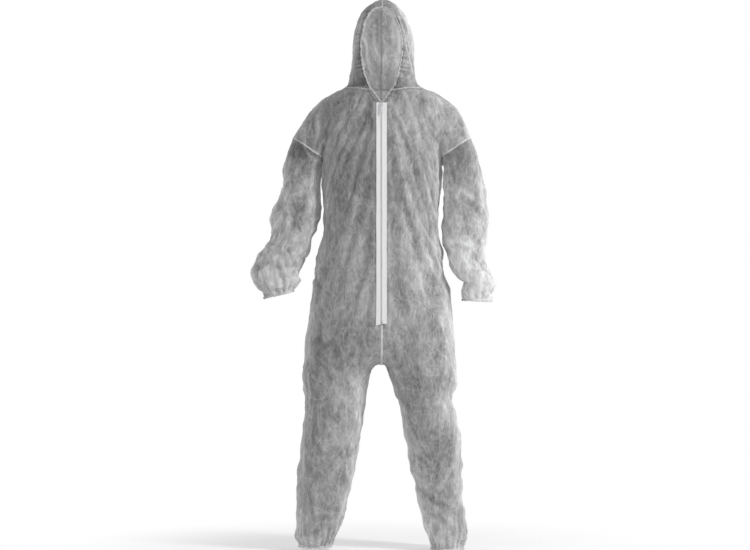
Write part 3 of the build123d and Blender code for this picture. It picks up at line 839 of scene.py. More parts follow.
def fold(x, y, z):
    """Long slack folds that run across a limb, broken and slanting."""
    bend = noise_at(x * 7, y * 7, z * 4 + 3)
    return ridged(3.2, x * 5 + bend, y * 5, z * 17 + abs(x) * 12 + bend * 1.6)


def creases(rest):
    """All creases and slack folds; the cloth behind the zip stays calm."""
    x, y, z = rest.T
    arm = is_arm(rest)
    calm = np.where((y < 0) & (z > 0.60) & (z < 1.44), rise(np.abs(x), 0.017, 0.030), 1.0)
    wide, small, bend = sampled(rest, crinkle).T
    patch = 0.55 + 0.45 * rise(bend, -0.25, 0.35)
    crinkled = patch * (wide * 0.0019 + small * 0.0009)
    depth = np.where(arm | (z < 0.58), 0.0036, 0.0021) * np.where(z > 1.45, 0.5, 1.0)
    packed = sampled(rest, crease) * depth
    slack = np.clip(sampled(rest, fold), -0.7, 1)
    limbs = np.where(arm, fall(z, 1.12, 1.26), 0.55 * fall(z, 0.48, 0.60))
    above_cuff = np.where(arm, rise(z, 0.81, 0.86), rise(z, 0.03, 0.09))
    return calm * (crinkled + packed) + slack * limbs * above_cuff * 0.0066


def cloth_tone_with_painted_light(now, rest, normal, edges):
    """Brightness of the cloth at each vertex: its own greys, with painted light and shade added."""
    x, y, z = rest.T
    arm = is_arm(rest) & (arm_field(rest) > 0)
    left, right, hood = x > 0, x < 0, z > 1.46
    tone = np.where(hood, 0.225, 0.30)
    tone += arm * (0.20 * fall(z, 1.12, 1.30) + 0.05)
    # painted light: the sleeve at +X, on the key lamp's side, is painted lighter than the sleeve at
    # -X
    tone += (arm & left) * (0.10 * fall(z, 1.10, 1.24) - 0.03 * rise(z, 1.16, 1.24))
    tone += (arm & right) * 0.02
    # surfaces that face sideways
    tone += 0.16 * np.abs(normal[:, 0]) ** 3 * np.where(arm, 0.6, 1.0)
    # painted light and shade: the hood is painted lighter on its +X side, towards the key lamp, and
    # darker on its -X side
    tone += (hood & left) * 0.10 * rise(x, 0.02, 0.09)
    tone -= (hood & right) * 0.05 * (1 + rise(-x, 0.02, 0.09))
    tone += (z < 0.45) * 0.05 * fall(z, 0.1, 0.45)
    # painted light: the trunk is painted lighter on its +X side, towards the key lamp
    tone += (~arm & (z < 1.45) & (z > 0.55)) * 0.045 * rise(x, 0.0, 0.10)
    tone *= 1 + 0.42 * sampled(rest, lambda x, y, z: noise_at(x * 6, y * 6, z * 3.2 + 7))
    # painted shade: both sleeves are painted darker towards the shoulder, the one at -X the most
    tone -= (arm & right) * (0.08 + 0.09 * rise(z, 0.98, 1.14))
    tone -= (arm & left) * (0.05 + 0.06 * rise(z, 1.02, 1.14))
    # painted light and shade: ridges are painted brighter and hollows darker, at two widths
    soft, softer = blur(now, edges, 5), blur(now, edges, 26)
    narrow = np.einsum("ij,ij->i", now - soft, normal)
    wide = np.einsum("ij,ij->i", soft - softer, normal)
    tone += np.clip(narrow / 0.0013, -1, 1.3) * 0.075 + np.clip(wide / 0.005, -1, 1) * 0.055
    for key in CUFFS:
        centre, up = cuff_plane(key)
        near = (level_distance(now, centre) < 0.12) & same_limb(rest, centre)
        tone += near * 0.10 * np.exp(-np.clip((now - centre) @ up, 0, 1) / 0.03)
    return np.clip(tone, 0.12, 0.85)


fine_mesh = finer(skin.now, skin.faces)
fine_rest = coords(finer(skin.rest, skin.faces))
fine_faces = faces_of(fine_mesh)
fine_now = coords(fine_mesh)
shape_front(fine_now, fine_rest)
relief = face_gathers(fine_rest) + waist_gathers(fine_rest) + creases(fine_rest)
for key in CUFFS:
    relief += cuff_gathers(key, fine_now, fine_rest)
fine_now = fine_now + normals_of(fine_now, fine_faces) * relief[:, None]
fine_normal = normals_of(fine_now, fine_faces)
fine_tone_with_painted_light = cloth_tone_with_painted_light(fine_now, fine_rest, fine_normal, edges_of(fine_mesh))
cloth = Skin(fine_now, fine_rest, fine_faces)
cloth.points = np.hstack([cloth.points, fine_normal, fine_tone_with_painted_light[:, None]])


# ---------------------------------------------------------------- seam lines and panels
def seam_lines(skin):
    """Lines for every seam, traced before the skin is cut."""
    rest, middle = skin.rest, skin.centres()
    x, y, z = middle.T
    arm, down_arm = is_arm(middle), arm_field(middle)
    centre, side = centre_field(rest), rest[:, 1]
    inner_arm = np.abs(x) < limb_middle(middle, ARMS, 1)
    inner_leg = (np.abs(x) > 0.008) & (np.abs(x) < limb_middle(middle, LEGS, 1))
    fields = {
        "neck": (neck_field(rest), (z > 1.43) & (z < 1.49)),
        "armhole": (arm_field(rest), arm),
        "back": (centre, (y > 0) & (z < 1.464)),
        "front": (centre, (y < 0.004) & (z < 0.712)),
        "hood": (centre, (y > -0.12) & (z > 1.464) & ((y > 0) | (z > 1.70))),
        "shoulder": (side, (z > 1.33) & (down_arm < 0) & (neck_field(middle) < 0)),
        "sleeve": (side - limb_middle(rest, ARMS, 3), arm & (down_arm > 0) & inner_arm),
        "inseam": (side - 0.001, (z < 0.575) & inner_leg),
        "waist": (rest[:, 2] - WAIST_Z, (y > 0.035) & ~arm),
    }
    return {name: trace(skin, *where) for name, where in fields.items()}


seams = seam_lines(cloth)

BODY, HOOD, SLEEVE_UPPER, SLEEVE_LOWER, THIGH, SHIN = range(6)
LEFT = 10  # added to the labels of panels on the +X side
cloth.cut(neck_field(cloth.rest), lambda middle, label: middle[:, 2] > 1.42, HOOD)
cloth.cut(arm_field(cloth.rest), lambda middle, label: (label == BODY) & is_arm(middle),
          SLEEVE_UPPER)
cloth.cut(ELBOW[0] - cloth.rest[:, 2], lambda middle, label: label == SLEEVE_UPPER, SLEEVE_LOWER)
cloth.cut(leg_field(cloth.rest), lambda middle, label: (
    (label == BODY) & ~is_arm(middle) & (middle[:, 2] < 0.90)), THIGH)
cloth.cut(KNEE[0] - cloth.rest[:, 2], lambda middle, label: label == THIGH, SHIN)
cloth.cut(centre_field(cloth.rest), lambda middle, label: np.ones(len(middle), bool))
cloth.label = cloth.label + np.where(centre_field(cloth.centres()) > 0, LEFT, 0)
cloth.points[:, 6:9] = normals_of(cloth.now, cloth.faces)


# ---------------------------------------------------------------- materials
class Nodes:
    """Short names for building a node tree."""

    def __init__(self, owner):
        owner.use_nodes = True
        self.tree = owner.node_tree
        self.tree.nodes.clear()

    def node(self, kind, inputs, **properties):
        """A node; inputs maps socket names or numbers to values or to sockets to link."""
        node = self.tree.nodes.new("ShaderNode" + kind)
        configure(node, **properties)
        for key, value in inputs.items():
            if isinstance(value, bpy.types.NodeSocket):
                self.tree.links.new(value, node.inputs[key])
            else:
                node.inputs[key].default_value = value
        return node

    def output_of(self, kind, output=0, inputs={}, **properties):
        return self.node(kind, inputs, **properties).outputs[output]

    def math(self, operation, first, second, clamp=False):
        return self.output_of("Math", 0, {0: first, 1: second},
                              operation=operation, use_clamp=clamp)

    def add(self, first, second):
        return self.math("ADD", first, second)

    def mul(self, first, second):
        return self.math("MULTIPLY", first, second)

    def centred(self, value, amount):
        """The value's distance from 0.5, times the amount."""
        return self.mul(self.math("SUBTRACT", value, 0.5), amount)

    def stretched(self, vector, factors):
        return self.output_of("VectorMath", 0, {0: vector, 1: factors}, operation="MULTIPLY")

    def scaled(self, vector, amount):
        return self.output_of("VectorMath", 0, {0: vector, "Scale": amount}, operation="SCALE")

    def moved(self, vector, offset, amount):
        shift = self.scaled(offset, amount)
        return self.output_of("VectorMath", 0, {0: vector, 1: shift}, operation="ADD")

    def noise(self, vector, scale, detail=3.0, rough=0.55, output=0):
        return self.output_of("TexNoise", output, {
            "Vector": vector, "Scale": scale, "Detail": detail, "Roughness": rough})

    def ramp(self, value, start, end, at_start, at_end):
        return self.output_of("MapRange", 0, {0: value, 1: start, 2: end, 3: at_start, 4: at_end},
                              interpolation_type="SMOOTHSTEP")

    def creases(self, vector, scale, width):
        """Thin lines along the borders of irregular cells: 1 on a line, 0 away from it."""
        distance = self.output_of("TexVoronoi", "Distance", {"Vector": vector, "Scale": scale},
                                  feature="DISTANCE_TO_EDGE")
        return self.ramp(distance, 0.0, width, 1.0, 0.0)

    def attribute(self, name, output):
        return self.output_of("Attribute", output,
                              attribute_type="GEOMETRY", attribute_name=name)

    def bump(self, height, strength, distance):
        return self.output_of("Bump", 0, {
            "Strength": strength, "Distance": distance, "Height": height})

    def mix_shader(self, factor, first, second):
        return self.output_of("MixShader", 0, {0: factor, 1: first, 2: second})


def cloth_material(name, lift=0.0, texture=1.0):
    """Spunbond nonwoven: fibre streaks, clouds, thin pale creases and a fine bond pattern."""
    material = bpy.data.materials.new(name)
    nodes = Nodes(material)
    add, mul = nodes.add, nodes.mul
    rest = nodes.attribute("rest", "Vector")
    # the vertex tone: the cloth's own greys with painted light and shade
    tone = nodes.attribute("tone", "Fac")
    swirl = nodes.noise(rest, 9.0, 2.0, 0.5, "Color")
    bent = nodes.moved(rest, swirl, 0.05)

    def streaks(stretch, scale, detail, rough):
        return nodes.noise(nodes.stretched(bent, (1, 1, stretch)), scale, detail, rough)

    def crease_lines(bend, stretch, scale, width):
        vector = nodes.stretched(nodes.moved(rest, swirl, bend), (1, 1, stretch))
        return nodes.creases(vector, scale, width)

    clouds = streaks(stretch=0.55, scale=13.0, detail=5.0, rough=0.62)
    small_clouds = streaks(stretch=0.45, scale=46.0, detail=5.0, rough=0.66)
    fibre = streaks(stretch=0.10, scale=300.0, detail=4.0, rough=0.7)
    grain = streaks(stretch=0.42, scale=150.0, detail=5.0, rough=0.72)
    specks = nodes.noise(rest, 520.0, 3.0, 0.7)
    long_lines = crease_lines(bend=0.10, stretch=0.5, scale=21.0, width=0.045)
    short_lines = crease_lines(bend=0.07, stretch=0.62, scale=52.0, width=0.06)
    # the crease lines come and go in patches
    fade = nodes.math("SUBTRACT", mul(nodes.noise(rest, 7.0, 3.0), 1.9), 0.55, clamp=True)
    lines = mul(add(mul(long_lines, 0.8), mul(short_lines, 0.5)), fade)

    gain = add(nodes.centred(clouds, 1.9 * texture), 1.0)
    for source, amount in ((small_clouds, 1.2), (fibre, 0.9), (grain, 1.25)):
        gain = add(gain, nodes.centred(source, amount * texture))
    gain = add(nodes.math("MAXIMUM", gain, 0.35), nodes.centred(specks, 0.30 * texture))
    value = mul(add(tone, lift), gain)
    value = add(value, mul(lines, 0.17 * texture))
    # paler where seen edge on, and on the inside
    facing = nodes.output_of("LayerWeight", "Facing", {"Blend": 0.30})
    value = add(value, mul(facing, 0.16))
    inside = nodes.output_of("NewGeometry", "Backfacing")
    value = add(mul(value, add(mul(inside, 0.75), 1.0)), mul(inside, 0.10))
    value = nodes.math("MAXIMUM", nodes.math("MINIMUM", value, 0.88), 0.04)
    # from black to a barely blue white
    colour = nodes.output_of("Mix", 2, {0: value, 6: (0.0, 0.0, 0.0, 1), 7: (1.0, 1.0, 1.005, 1)},
                             data_type="RGBA")

    # the bond pattern and the creases in relief
    dots = nodes.output_of("TexVoronoi", "Distance", {
        "Vector": rest, "Scale": 520.0, "Randomness": 0.25}, feature="F1")
    height = add(mul(small_clouds, 0.9), add(mul(fibre, 0.22), mul(grain, 0.30)))
    height = add(add(height, mul(lines, 0.30)), mul(dots, 0.05))
    surface = nodes.output_of("BsdfPrincipled", 0, {
        "Base Color": colour, "Roughness": 0.72, "Specular IOR Level": 0.22,
        "Sheen Weight": 0.10, "Normal": nodes.bump(height, strength=0.9, distance=0.0027)})
    # a little light comes through one layer of the cloth
    glow = nodes.output_of("BsdfTranslucent", 0, {0: colour})
    shader = nodes.mix_shader(add(mul(inside, 0.22), 0.18), surface, glow)
    nodes.node("OutputMaterial", {0: shader})
    return material


def plain_material(name, colour, rough, scale, amount, metal=0.0, stretch=(1, 1, 1)):
    """One colour with a fine grain; amount is how far the grain varies the colour."""
    material = bpy.data.materials.new(name)
    nodes = Nodes(material)
    place = nodes.output_of("TexCoord", "Object")
    grain = nodes.noise(nodes.stretched(place, stretch), scale, 4.0, 0.6)
    gain = nodes.add(nodes.centred(grain, amount), 1.0)
    surface = nodes.output_of("BsdfPrincipled", 0, {
        "Base Color": nodes.scaled(colour, gain),
        "Roughness": nodes.add(nodes.mul(grain, 0.2), rough - 0.1),
        "Metallic": metal, "Normal": nodes.bump(grain, strength=0.5, distance=0.0002)})
    nodes.node("OutputMaterial", {0: surface})
    return material


CLOTH = cloth_material("nonwoven_cloth")
SEAM = cloth_material("nonwoven_seam", lift=0.20, texture=0.5)
HEM = cloth_material("nonwoven_hem", lift=0.06, texture=0.8)
TAPE = plain_material("zip_tape_weave", (0.80, 0.80, 0.805), rough=0.75, scale=900, amount=0.22,
                      stretch=(1, 1, 0.35))
THREAD = plain_material("sewing_thread", (0.80, 0.80, 0.80), rough=0.6, scale=2500, amount=0.3)
PLASTIC = plain_material("zip_plastic_white", (0.86, 0.86, 0.87), rough=0.38, scale=700,
                         amount=0.08)
METAL = plain_material("zip_white_metal", (0.60, 0.60, 0.62), rough=0.36, scale=500, amount=0.14,
                       metal=0.65)


# ---------------------------------------------------------------- making pieces
def finish_piece(obj, material, move, slot, *nodes):
    """move holds the part the piece rides on, or the arguments of a blend between two parts; a piece
    given a blend is only baked in place here.
    """
    obj.data.materials.clear()
    obj.data.materials.append(material)
    if len(move) == 1:
        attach(obj, *move)
    else:
        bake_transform(obj)
    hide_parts(*nodes)


def dress(mesh, rest, tone):
    """Stores what the cloth materials read, and shades the mesh smooth."""
    for name, kind, field, values in (("rest", "FLOAT_VECTOR", "vector", rest),
                                      ("tone", "FLOAT", "value", tone)):
        attribute = mesh.attributes.new(name, kind, "POINT")
        attribute.data.foreach_set(field, np.asarray(values, np.float32).ravel())
    mesh.polygons.foreach_set("use_smooth", np.ones(len(mesh.polygons), bool))


def solid(name, points, faces, rest=None, tone=0.5):
    points = np.array(points, float)
    mesh = new_mesh(name, points, faces)
    edit = bmesh.new()
    edit.from_mesh(mesh)
    bmesh.ops.recalc_face_normals(edit, faces=edit.faces)
    edit.to_mesh(mesh)
    edit.free()
    dress(mesh, points if rest is None else rest, np.full(len(points), tone))
    return link(name, mesh)


def cloth_piece(name, label, move, *nodes):
    own = [face for face, mark in zip(cloth.faces, cloth.label.tolist()) if mark == label]
    used, faces = compact(own)
    rows = cloth.points[used]
    mesh = new_mesh(name, rows[:, :3], faces)
    dress(mesh, rows[:, 3:6], rows[:, 9])
    normal = rows[:, 6:9] / (lengths(rows[:, 6:9]) + 1e-9)
    mesh.normals_split_custom_set_from_vertices(normal.tolist())
    finish_piece(link(name, mesh), CLOTH, move, "nonwoven_cloth", *nodes)


def sweep(name, line, profile, tone):
    """A mesh swept along a line. profile(distance) gives (across, outward) offsets in metres."""
    points = line.now
    if line.closed:
        tangent = np.roll(points, -1, 0) - np.roll(points, 1, 0)
    else:
        tangent = np.gradient(points, axis=0)
    tangent /= lengths(tangent) + 1e-9
    across = np.cross(line.normal, tangent)
    across /= lengths(across) + 1e-9
    outward = np.cross(tangent, across)
    shifts = []
    for i, distance in enumerate(distance_along(points)):
        ring = np.array(profile(distance))
        shifts.append(across[i] * ring[:, :1] + outward[i] * ring[:, 1:2])
    shifts = np.array(shifts)
    rings, size = shifts.shape[:2]
    faces = ring_quads(rings, size, closed=line.closed)
    if not line.closed:
        faces += end_caps(rings, size)
    return solid(name, (points[:, None] + shifts).reshape(-1, 3), faces,
                 (line.rest[:, None] + shifts).reshape(-1, 3), tone)


def ridge(width, height, seed, sink):
    """A seam's low ridge: both layers turned over and stitched, slightly uneven."""
    def profile(distance):
        half = width * (1 + 0.14 * noise_at(distance * 60, seed, 0))
        top = height * (1 + 0.25 * noise_at(distance * 90, seed + 5, 0)
                        + 0.10 * math.sin(distance * 2 * math.pi / 0.0045))
        lean = 0.0006 * noise_at(distance * 25, seed + 9, 0)
        return [(-half, -sink), (-half * 0.86, top * 0.30), (-half * 0.36 + lean, top * 0.95),
                (half * 0.12 + lean, top * 0.80), (half * 0.40 + lean, top * 0.92),
                (half * 0.88, top * 0.28), (half, -sink)]
    return profile


def roll_hem(radius, folds, depth, seed):
    """A hem turned over an elastic: a soft tube with so many gathers a metre."""
    def profile(distance):
        wander = 1.7 * noise_at(distance * 30, seed, 0)
        wave = math.sin(distance * folds * 2 * math.pi + wander)
        size = radius * (1 + depth * wave + 0.12 * noise_at(distance * 70, seed + 3, 0))
        return [(size * math.cos(turn), size * math.sin(turn) + 0.35 * radius * depth * wave)
                for turn in np.linspace(0, 2 * math.pi, 10, endpoint=False)]
    return profile


def pucker(outline, half_width, height, lift, depth, folds):
    """A flat elastic whose thickness waves, with so many folds a metre."""
    def profile(distance):
        wave = 1 + depth * math.sin(distance * 2 * math.pi * folds)
        return [(half_width * across, height * up * wave + lift) for across, up in outline]
    return profile


# ---------------------------------------------------------------- cloth panels
TORSO_MOVE = ("torso",)
HOOD_MOVE = ("torso", "hood", (0, 0, HOOD_ZONE[0]), (0, 0, HOOD_ZONE[1]))


def side_moves(side, sign):
    """How each panel on one side follows the parts."""
    flip = np.array([sign, 1, 1])

    def at_joint(parent, child, start, end):
        return parent, f"{child}_{side}", tuple(start), tuple(end)

    def at_level(parent, child, zone):
        return at_joint(f"{parent}_{side}", child, (0, 0, zone[0]), (0, 0, zone[1]))

    return {
        "body": TORSO_MOVE,
        "hood": HOOD_MOVE,
        "sleeve_upper": at_joint("torso", "sleeve_upper", ARM_START * flip,
                                 (ARM_START + ARM_DIR * ARM_ZONE) * flip),
        "sleeve_lower": at_level("sleeve_upper", "sleeve_lower", ELBOW),
        "leg_thigh": at_joint("torso", "leg_thigh", HIP_START * flip,
                              (HIP_START + HIP_DIR * HIP_ZONE) * flip),
        "leg_shin": at_level("leg_thigh", "leg_shin", KNEE),
    }


moves = {side: side_moves(side, sign) for side, sign in (("left", 1), ("right", -1))}
# panel name, its label, the nodes it replaces
PANELS = (
    ("body", BODY, ["body_panel"]),
    ("hood", HOOD, ["hood_panel", "hood_neck"]),
    ("sleeve_upper", SLEEVE_UPPER, ["sleeve_upper"]),
    ("sleeve_lower", SLEEVE_LOWER, ["sleeve_lower"]),
    ("leg_thigh", THIGH, ["leg_thigh"]),
    ("leg_shin", SHIN, ["leg_shin"]),
)
for side, side_label in (("left", LEFT), ("right", 0)):
    for name, label, nodes in PANELS:
        cloth_piece(f"cloth_{name}_{side}", label + side_label, moves[side][name],
                    *[f"{node}_{side}" for node in nodes])

# ---------------------------------------------------------------- seams
SEAM_STEP = 0.0032
JOINT_OVERLAP = 0.002


def seam_piece(name, line, move, *nodes, seed, width=0.0021, height=0.0012, tone=0.36,
               sink=0.0012):
    obj = sweep(name, line, ridge(width, height, seed, sink), tone)
    finish_piece(obj, SEAM, move, "cloth_seam", *nodes)


def seam_line(name):
    return even(seams[name][0], SEAM_STEP)


def side_line(name, side):
    """The longest line of that seam on one side."""
    return even(next(line for line in seams[name]
                     if (line.rest[:, 0].mean() > 0) == (side == "left")), SEAM_STEP)


seam_piece("seam_neck", seam_line("neck"), TORSO_MOVE, "neck_seam",
           width=0.0024, height=0.0016, tone=0.34, seed=2)
seam_piece("seam_centre_back", seam_line("back"), TORSO_MOVE, "centre_back_seam", seed=3)
seam_piece("seam_centre_front", seam_line("front"), TORSO_MOVE, "centre_front_seam",
           width=0.0034, height=0.0018, tone=0.46, seed=4)
seam_piece("seam_hood_centre", seam_line("hood"), HOOD_MOVE, "hood_centre_seam",
           "hood_neck_back_seam", width=0.0023, height=0.0014, seed=5, sink=0.0002)
# seam, piece name, replaced node, joint height, (part, panel it moves with) above and below, seed
LONG_SEAMS = (
    ("sleeve", "seam_sleeve", "sleeve_seam", ELBOW[0],
     (("upper", "sleeve_upper"), ("lower", "sleeve_lower")), 8),
    ("inseam", "seam_inseam", "inseam", KNEE[0],
     (("thigh", "leg_thigh"), ("shin", "leg_shin")), 9),
)
for side in ("left", "right"):
    seam_piece(f"seam_armhole_{side}", side_line("armhole", side), TORSO_MOVE,
               f"armhole_seam_{side}", width=0.0029, height=0.0018, tone=0.40, seed=6)
    seam_piece(f"seam_shoulder_{side}", side_line("shoulder", side), TORSO_MOVE,
               f"shoulder_seam_{side}", width=0.0018, height=0.0011, tone=0.34, seed=7)
    for seam, piece, node, joint, parts, seed in LONG_SEAMS:
        line = side_line(seam, side)
        z = line.rest[:, 2]
        masks = (z > joint - JOINT_OVERLAP, z < joint + JOINT_OVERLAP)
        for (part, panel), mask in zip(parts, masks):
            seam_piece(f"{piece}_{part}_{side}", part_of(line, mask), moves[side][panel],
                       f"{node}_{part}_{side}", seed=seed)

# ---------------------------------------------------------------- hems and elastics
HEM_STEP = 0.0026
# elastic cross sections, in half widths across and heights out
FACE_BAND = ((-1.6, -0.9), (-1, 0.3), (0, 0.55), (1, 0.3), (1.6, -0.9))
CUFF_BAND = ((-1.3, -1.2), (-1, 0.8), (-0.45, 0.35), (0, 1.0), (0.45, 0.35), (1, 0.8),
             (1.3, -1.2))
WAIST_BAND = ((-1.12, -1.6), (-1, 0.8), (-0.5, 0.45), (0, 1.0), (0.5, 0.45), (1, 0.8),
              (1.12, -1.6))


def open_edges():
    """The long lines along edges that have only one face."""
    count = {}
    for face in cloth.faces:
        for i, j in zip(face, face[1:] + face[:1]):
            key = edge_key(i, j)
            count[key] = count.get(key, 0) + 1
    lines = chains([key for key, uses in count.items() if uses == 1], cloth.points)
    return [line for line in lines if len(line.points) > 40]


rims = open_edges()


def rim_near(point):
    return min(rims, key=lambda line: np.linalg.norm(line.now.mean(0) - point))


def face_elastic_line(line):
    """A line on the cloth, 9.5 mm out from the face opening's edge."""
    flat = line.rest[:, [0, 2]]
    away = np.stack([outline_distance(flat + np.array(step) * 0.002, FACE_RING)
                     for step in ((1, 0), (0, 1))], 1)
    away -= outline_distance(flat, FACE_RING)[:, None]
    away /= lengths(away) + 1e-9
    aim = line.rest + np.stack([away[:, 0], away[:, 0] * 0, away[:, 1]], 1) * 0.0095
    x, y, z = cloth.rest.T
    pool = np.nonzero((y < -0.02) & (z > 1.39) & (np.abs(x) < 0.13))[0]
    gaps = ((cloth.rest[pool][None] - aim[:, None]) ** 2).sum(2)
    rows = cloth.points[pool[np.argmin(gaps, axis=1)]]
    rows[:, :3] += rows[:, 6:9] * 0.0002
    return even(Line(rows, False), HEM_STEP, 6)


def face_edge(name, line, seed):
    obj = sweep(f"hem_face_{name}", line, roll_hem(0.0027, 70, 0.26, seed), 0.42)
    finish_piece(obj, HEM, HOOD_MOVE, "nonwoven_cloth", f"face_hem_{name}")
    # the elastic shows as a narrow puckered band just behind the rolled edge
    profile = pucker(FACE_BAND, half_width=0.0016, height=0.0009, lift=0.0004, depth=0.5,
                     folds=140)
    obj = sweep(f"elastic_face_{name}", face_elastic_line(line), profile, 0.24)
    finish_piece(obj, CLOTH, HOOD_MOVE, "elastic", f"face_elastic_{name}")


def cuff_edge(key):
    limb, side = key.split("_")
    centre, up = cuff_plane(key)
    move = (f"sleeve_lower_{side}" if limb == "wrist" else f"leg_shin_{side}",)
    line = even(rim_near(centre), HEM_STEP)
    folds = 70 if limb == "wrist" else 62
    profile = roll_hem(0.0033, folds, 0.22, len(key) + ord(side[0]))
    obj = sweep(f"hem_{key}", line, profile, 0.52)
    finish_piece(obj, HEM, move, "nonwoven_cloth", f"{limb}_hem_{side}")
    # gathering elastic in two rows a little above the edge, drawn in over the cloth
    outward = line.now - line.now.mean(0)
    outward = outward / (lengths(outward) + 1e-9)
    raised = up * 0.0105
    ring = np.hstack([line.now + raised + outward * 0.0004, line.rest + raised, outward])
    profile = pucker(CUFF_BAND, half_width=0.0042, height=0.0010, lift=-0.0006, depth=0.35,
                     folds=120)
    obj = sweep(f"elastic_{key}", Line(ring, True), profile, 0.46)
    finish_piece(obj, HEM, move, "elastic", f"{limb}_elastic_{side}")


def waist_elastic():
    line = seams["waist"][0]
    line = even(part_of(line, np.abs(line.rest[:, 0]) < 0.155), 0.0022, 3)
    profile = pucker(WAIST_BAND, half_width=0.0090, height=0.0011, lift=0.0002, depth=0.45,
                     folds=75)
    finish_piece(sweep("elastic_waist", line, profile, 0.36), HEM, TORSO_MOVE, "elastic",
                 "waist_elastic")


face_rim = even(rim_near(np.array([0, -0.10, 1.56])), HEM_STEP, 4)
face_edge("crown", part_of(face_rim, face_rim.rest[:, 2] > 1.4715), 1.0)
face_edge("neck", part_of(face_rim, face_rim.rest[:, 2] <= 1.474), 2.0)
for key in CUFFS:
    cuff_edge(key)
waist_elastic()

# ---------------------------------------------------------------- the zip, millimetres
ZIP_END = -ZIP_LENGTH * 1000
TAPE_INNER, TAPE_OUTER = 1.1, 16.5
SEWN_INNER, SEWN_OUTER = 9.5, 14.8  # the two rows of stitching on each tape


def zip_point(across, out, along):
    """Millimetres across to +X, out to the front and up along the zip, to a place in metres."""
    return (ZIP_TOP + np.array([1, 0, 0]) * across / 1000 + ZIP_OUT * out / 1000
            - ZIP_DOWN * along / 1000)


def tape_offset(sign, across, along):
    """The tape's gentle waves, out and across, growing towards its outer edge."""
    slow = noise_at(sign * 3.1, along * 0.020, 0.4)
    quick = noise_at(sign * 5.7, along * 0.055, 1.9)
    share = max(0.0, (across - 4) / 12.5)
    return ((0.55 * slow + 0.35 * quick) * share * 1.5,
            0.5 * noise_at(sign * 9.0, along * 0.012, 3.0) * share)


def tape_point(sign, layer, across, along):
    wave, drift = tape_offset(sign, across, along)
    place, level = across, along
    if sign < 0 and along < ZIP_END + 6:
        # the free tail's corner is cut at a slant
        part = (ZIP_END + 6 - along) / 21
        place = TAPE_INNER + (across - TAPE_INNER) * (1 - 0.10 * part)
        level = along + part * (TAPE_OUTER - across) * 0.30
    if sign < 0 and along < ZIP_END + 40:
        # and turns outwards a little
        place += 2.6 * ((ZIP_END + 40 - along) / 55) ** 1.5 * max(0.0, (across - 4.0) / 12.5)
    dent = (-0.18 * math.exp(-((across - SEWN_INNER) / 0.5) ** 2)
            - 0.16 * math.exp(-((across - SEWN_OUTER) / 0.4) ** 2))
    return zip_point(sign * (place + drift), layer + max(wave, -0.15) + dent + 0.25, level)


def tape(side, sign):
    """One tape as two layers of points, front and back, closed round their edges."""
    columns = [TAPE_INNER, 3.2, 5.6, 8.4, 9.4, 10.4, 12.8, 14.6, 15.6, TAPE_OUTER]
    bottom = ZIP_END - (10 if sign > 0 else 15)
    rows = list(np.arange(0, bottom, -3.0)) + [bottom]
    points = [tape_point(sign, layer, across, along)
              for layer in (0.35, -0.30) for along in rows for across in columns]
    high, wide = len(rows), len(columns)

    def number(layer, i, j):
        return layer * high * wide + i * wide + j

    faces = []
    for i in range(high - 1):
        for j in range(wide - 1):
            faces.append((number(0, i, j), number(0, i, j + 1),
                          number(0, i + 1, j + 1), number(0, i + 1, j)))
            faces.append((number(1, i, j), number(1, i + 1, j),
                          number(1, i + 1, j + 1), number(1, i, j + 1)))
        for j in (0, wide - 1):
            faces.append((number(0, i, j), number(0, i + 1, j),
                          number(1, i + 1, j), number(1, i, j)))
    for j in range(wide - 1):
        for i in (0, high - 1):
            faces.append((number(0, i, j), number(1, i, j),
                          number(1, i, j + 1), number(0, i, j + 1)))
    finish_piece(solid(f"zip_tape_cloth_{side}", points, faces), TAPE, TORSO_MOVE, "zip_tape",
                 f"zip_tape_{side}")


def add_rod(points, faces, path, radius, size=6):
    """A round rod along a path, added to the points and faces."""
    base = len(points)
    path = np.array(path)
    for point, tangent in zip(path, np.gradient(path, axis=0)):
        tangent = tangent / (np.linalg.norm(tangent) + 1e-9)
        first = np.cross(tangent, [0.31, 0.2, 0.93])
        first /= np.linalg.norm(first) + 1e-9
        second = np.cross(tangent, first)
        for i in range(size):
            turn = 2 * math.pi * i / size
            points.append(point + (first * math.cos(turn) + second * math.sin(turn)) * radius)
    faces += ring_quads(len(path), size, base) + end_caps(len(path), size, base)


def coil(side, sign):
    """One half of the coil zip: a row of small rounded teeth on a cord."""
    pitch = 1.8
    # one tooth: across, out, along
    tooth = ((2.9, 0.8, 0.25), (2.0, 1.35, 0.1), (0.75, 1.55, 0.0), (-0.25, 1.30, -0.05),
             (0.5, 0.85, -0.1))
    points, faces = [], []
    along = -3.0 if sign > 0 else -3.9
    while along > ZIP_END:
        path = [zip_point(sign * across, out, along + shift) for across, out, shift in tooth]
        add_rod(points, faces, path, 0.00046)
        along -= pitch
    cord = [zip_point(sign * 2.95, 1.0, level) for level in np.arange(-2.0, ZIP_END, -6.0)]
    add_rod(points, faces, cord, 0.00052)
    finish_piece(solid(f"zip_teeth_{side}", points, faces), PLASTIC, TORSO_MOVE, "zip_plastic",
                 f"zip_coil_{side}")


def stitches():
    pitch = 3.2
    # a stitch's cross sections (along, height, half width), and the points of each
    sections = ((0, 0.0, 0.16), (-0.7, 0.34, 0.24), (-1.9, 0.34, 0.24), (-2.6, 0.0, 0.16))
    arch = ((-1, 0), (-0.6, 0.22), (0.6, 0.22), (1, 0))
    points, faces = [], []
    for across in (-SEWN_OUTER, -SEWN_INNER, SEWN_INNER, SEWN_OUTER):
        sign = 1 if across > 0 else -1
        along = -2.0
        while along > ZIP_END - 6:
            wave, drift = tape_offset(sign, abs(across), along)
            top = max(wave, -0.15) + 0.50
            faces += ring_quads(len(sections), len(arch), len(points))
            for shift, height, half in sections:
                for share, lift in arch:
                    points.append(zip_point(across + sign * drift + half * share,
                                            top + height * 0.5 + lift - 0.1, along + shift))
            along -= pitch
    finish_piece(solid("zip_thread_rows", points, faces), THREAD, TORSO_MOVE, "thread",
                 "zip_stitching")


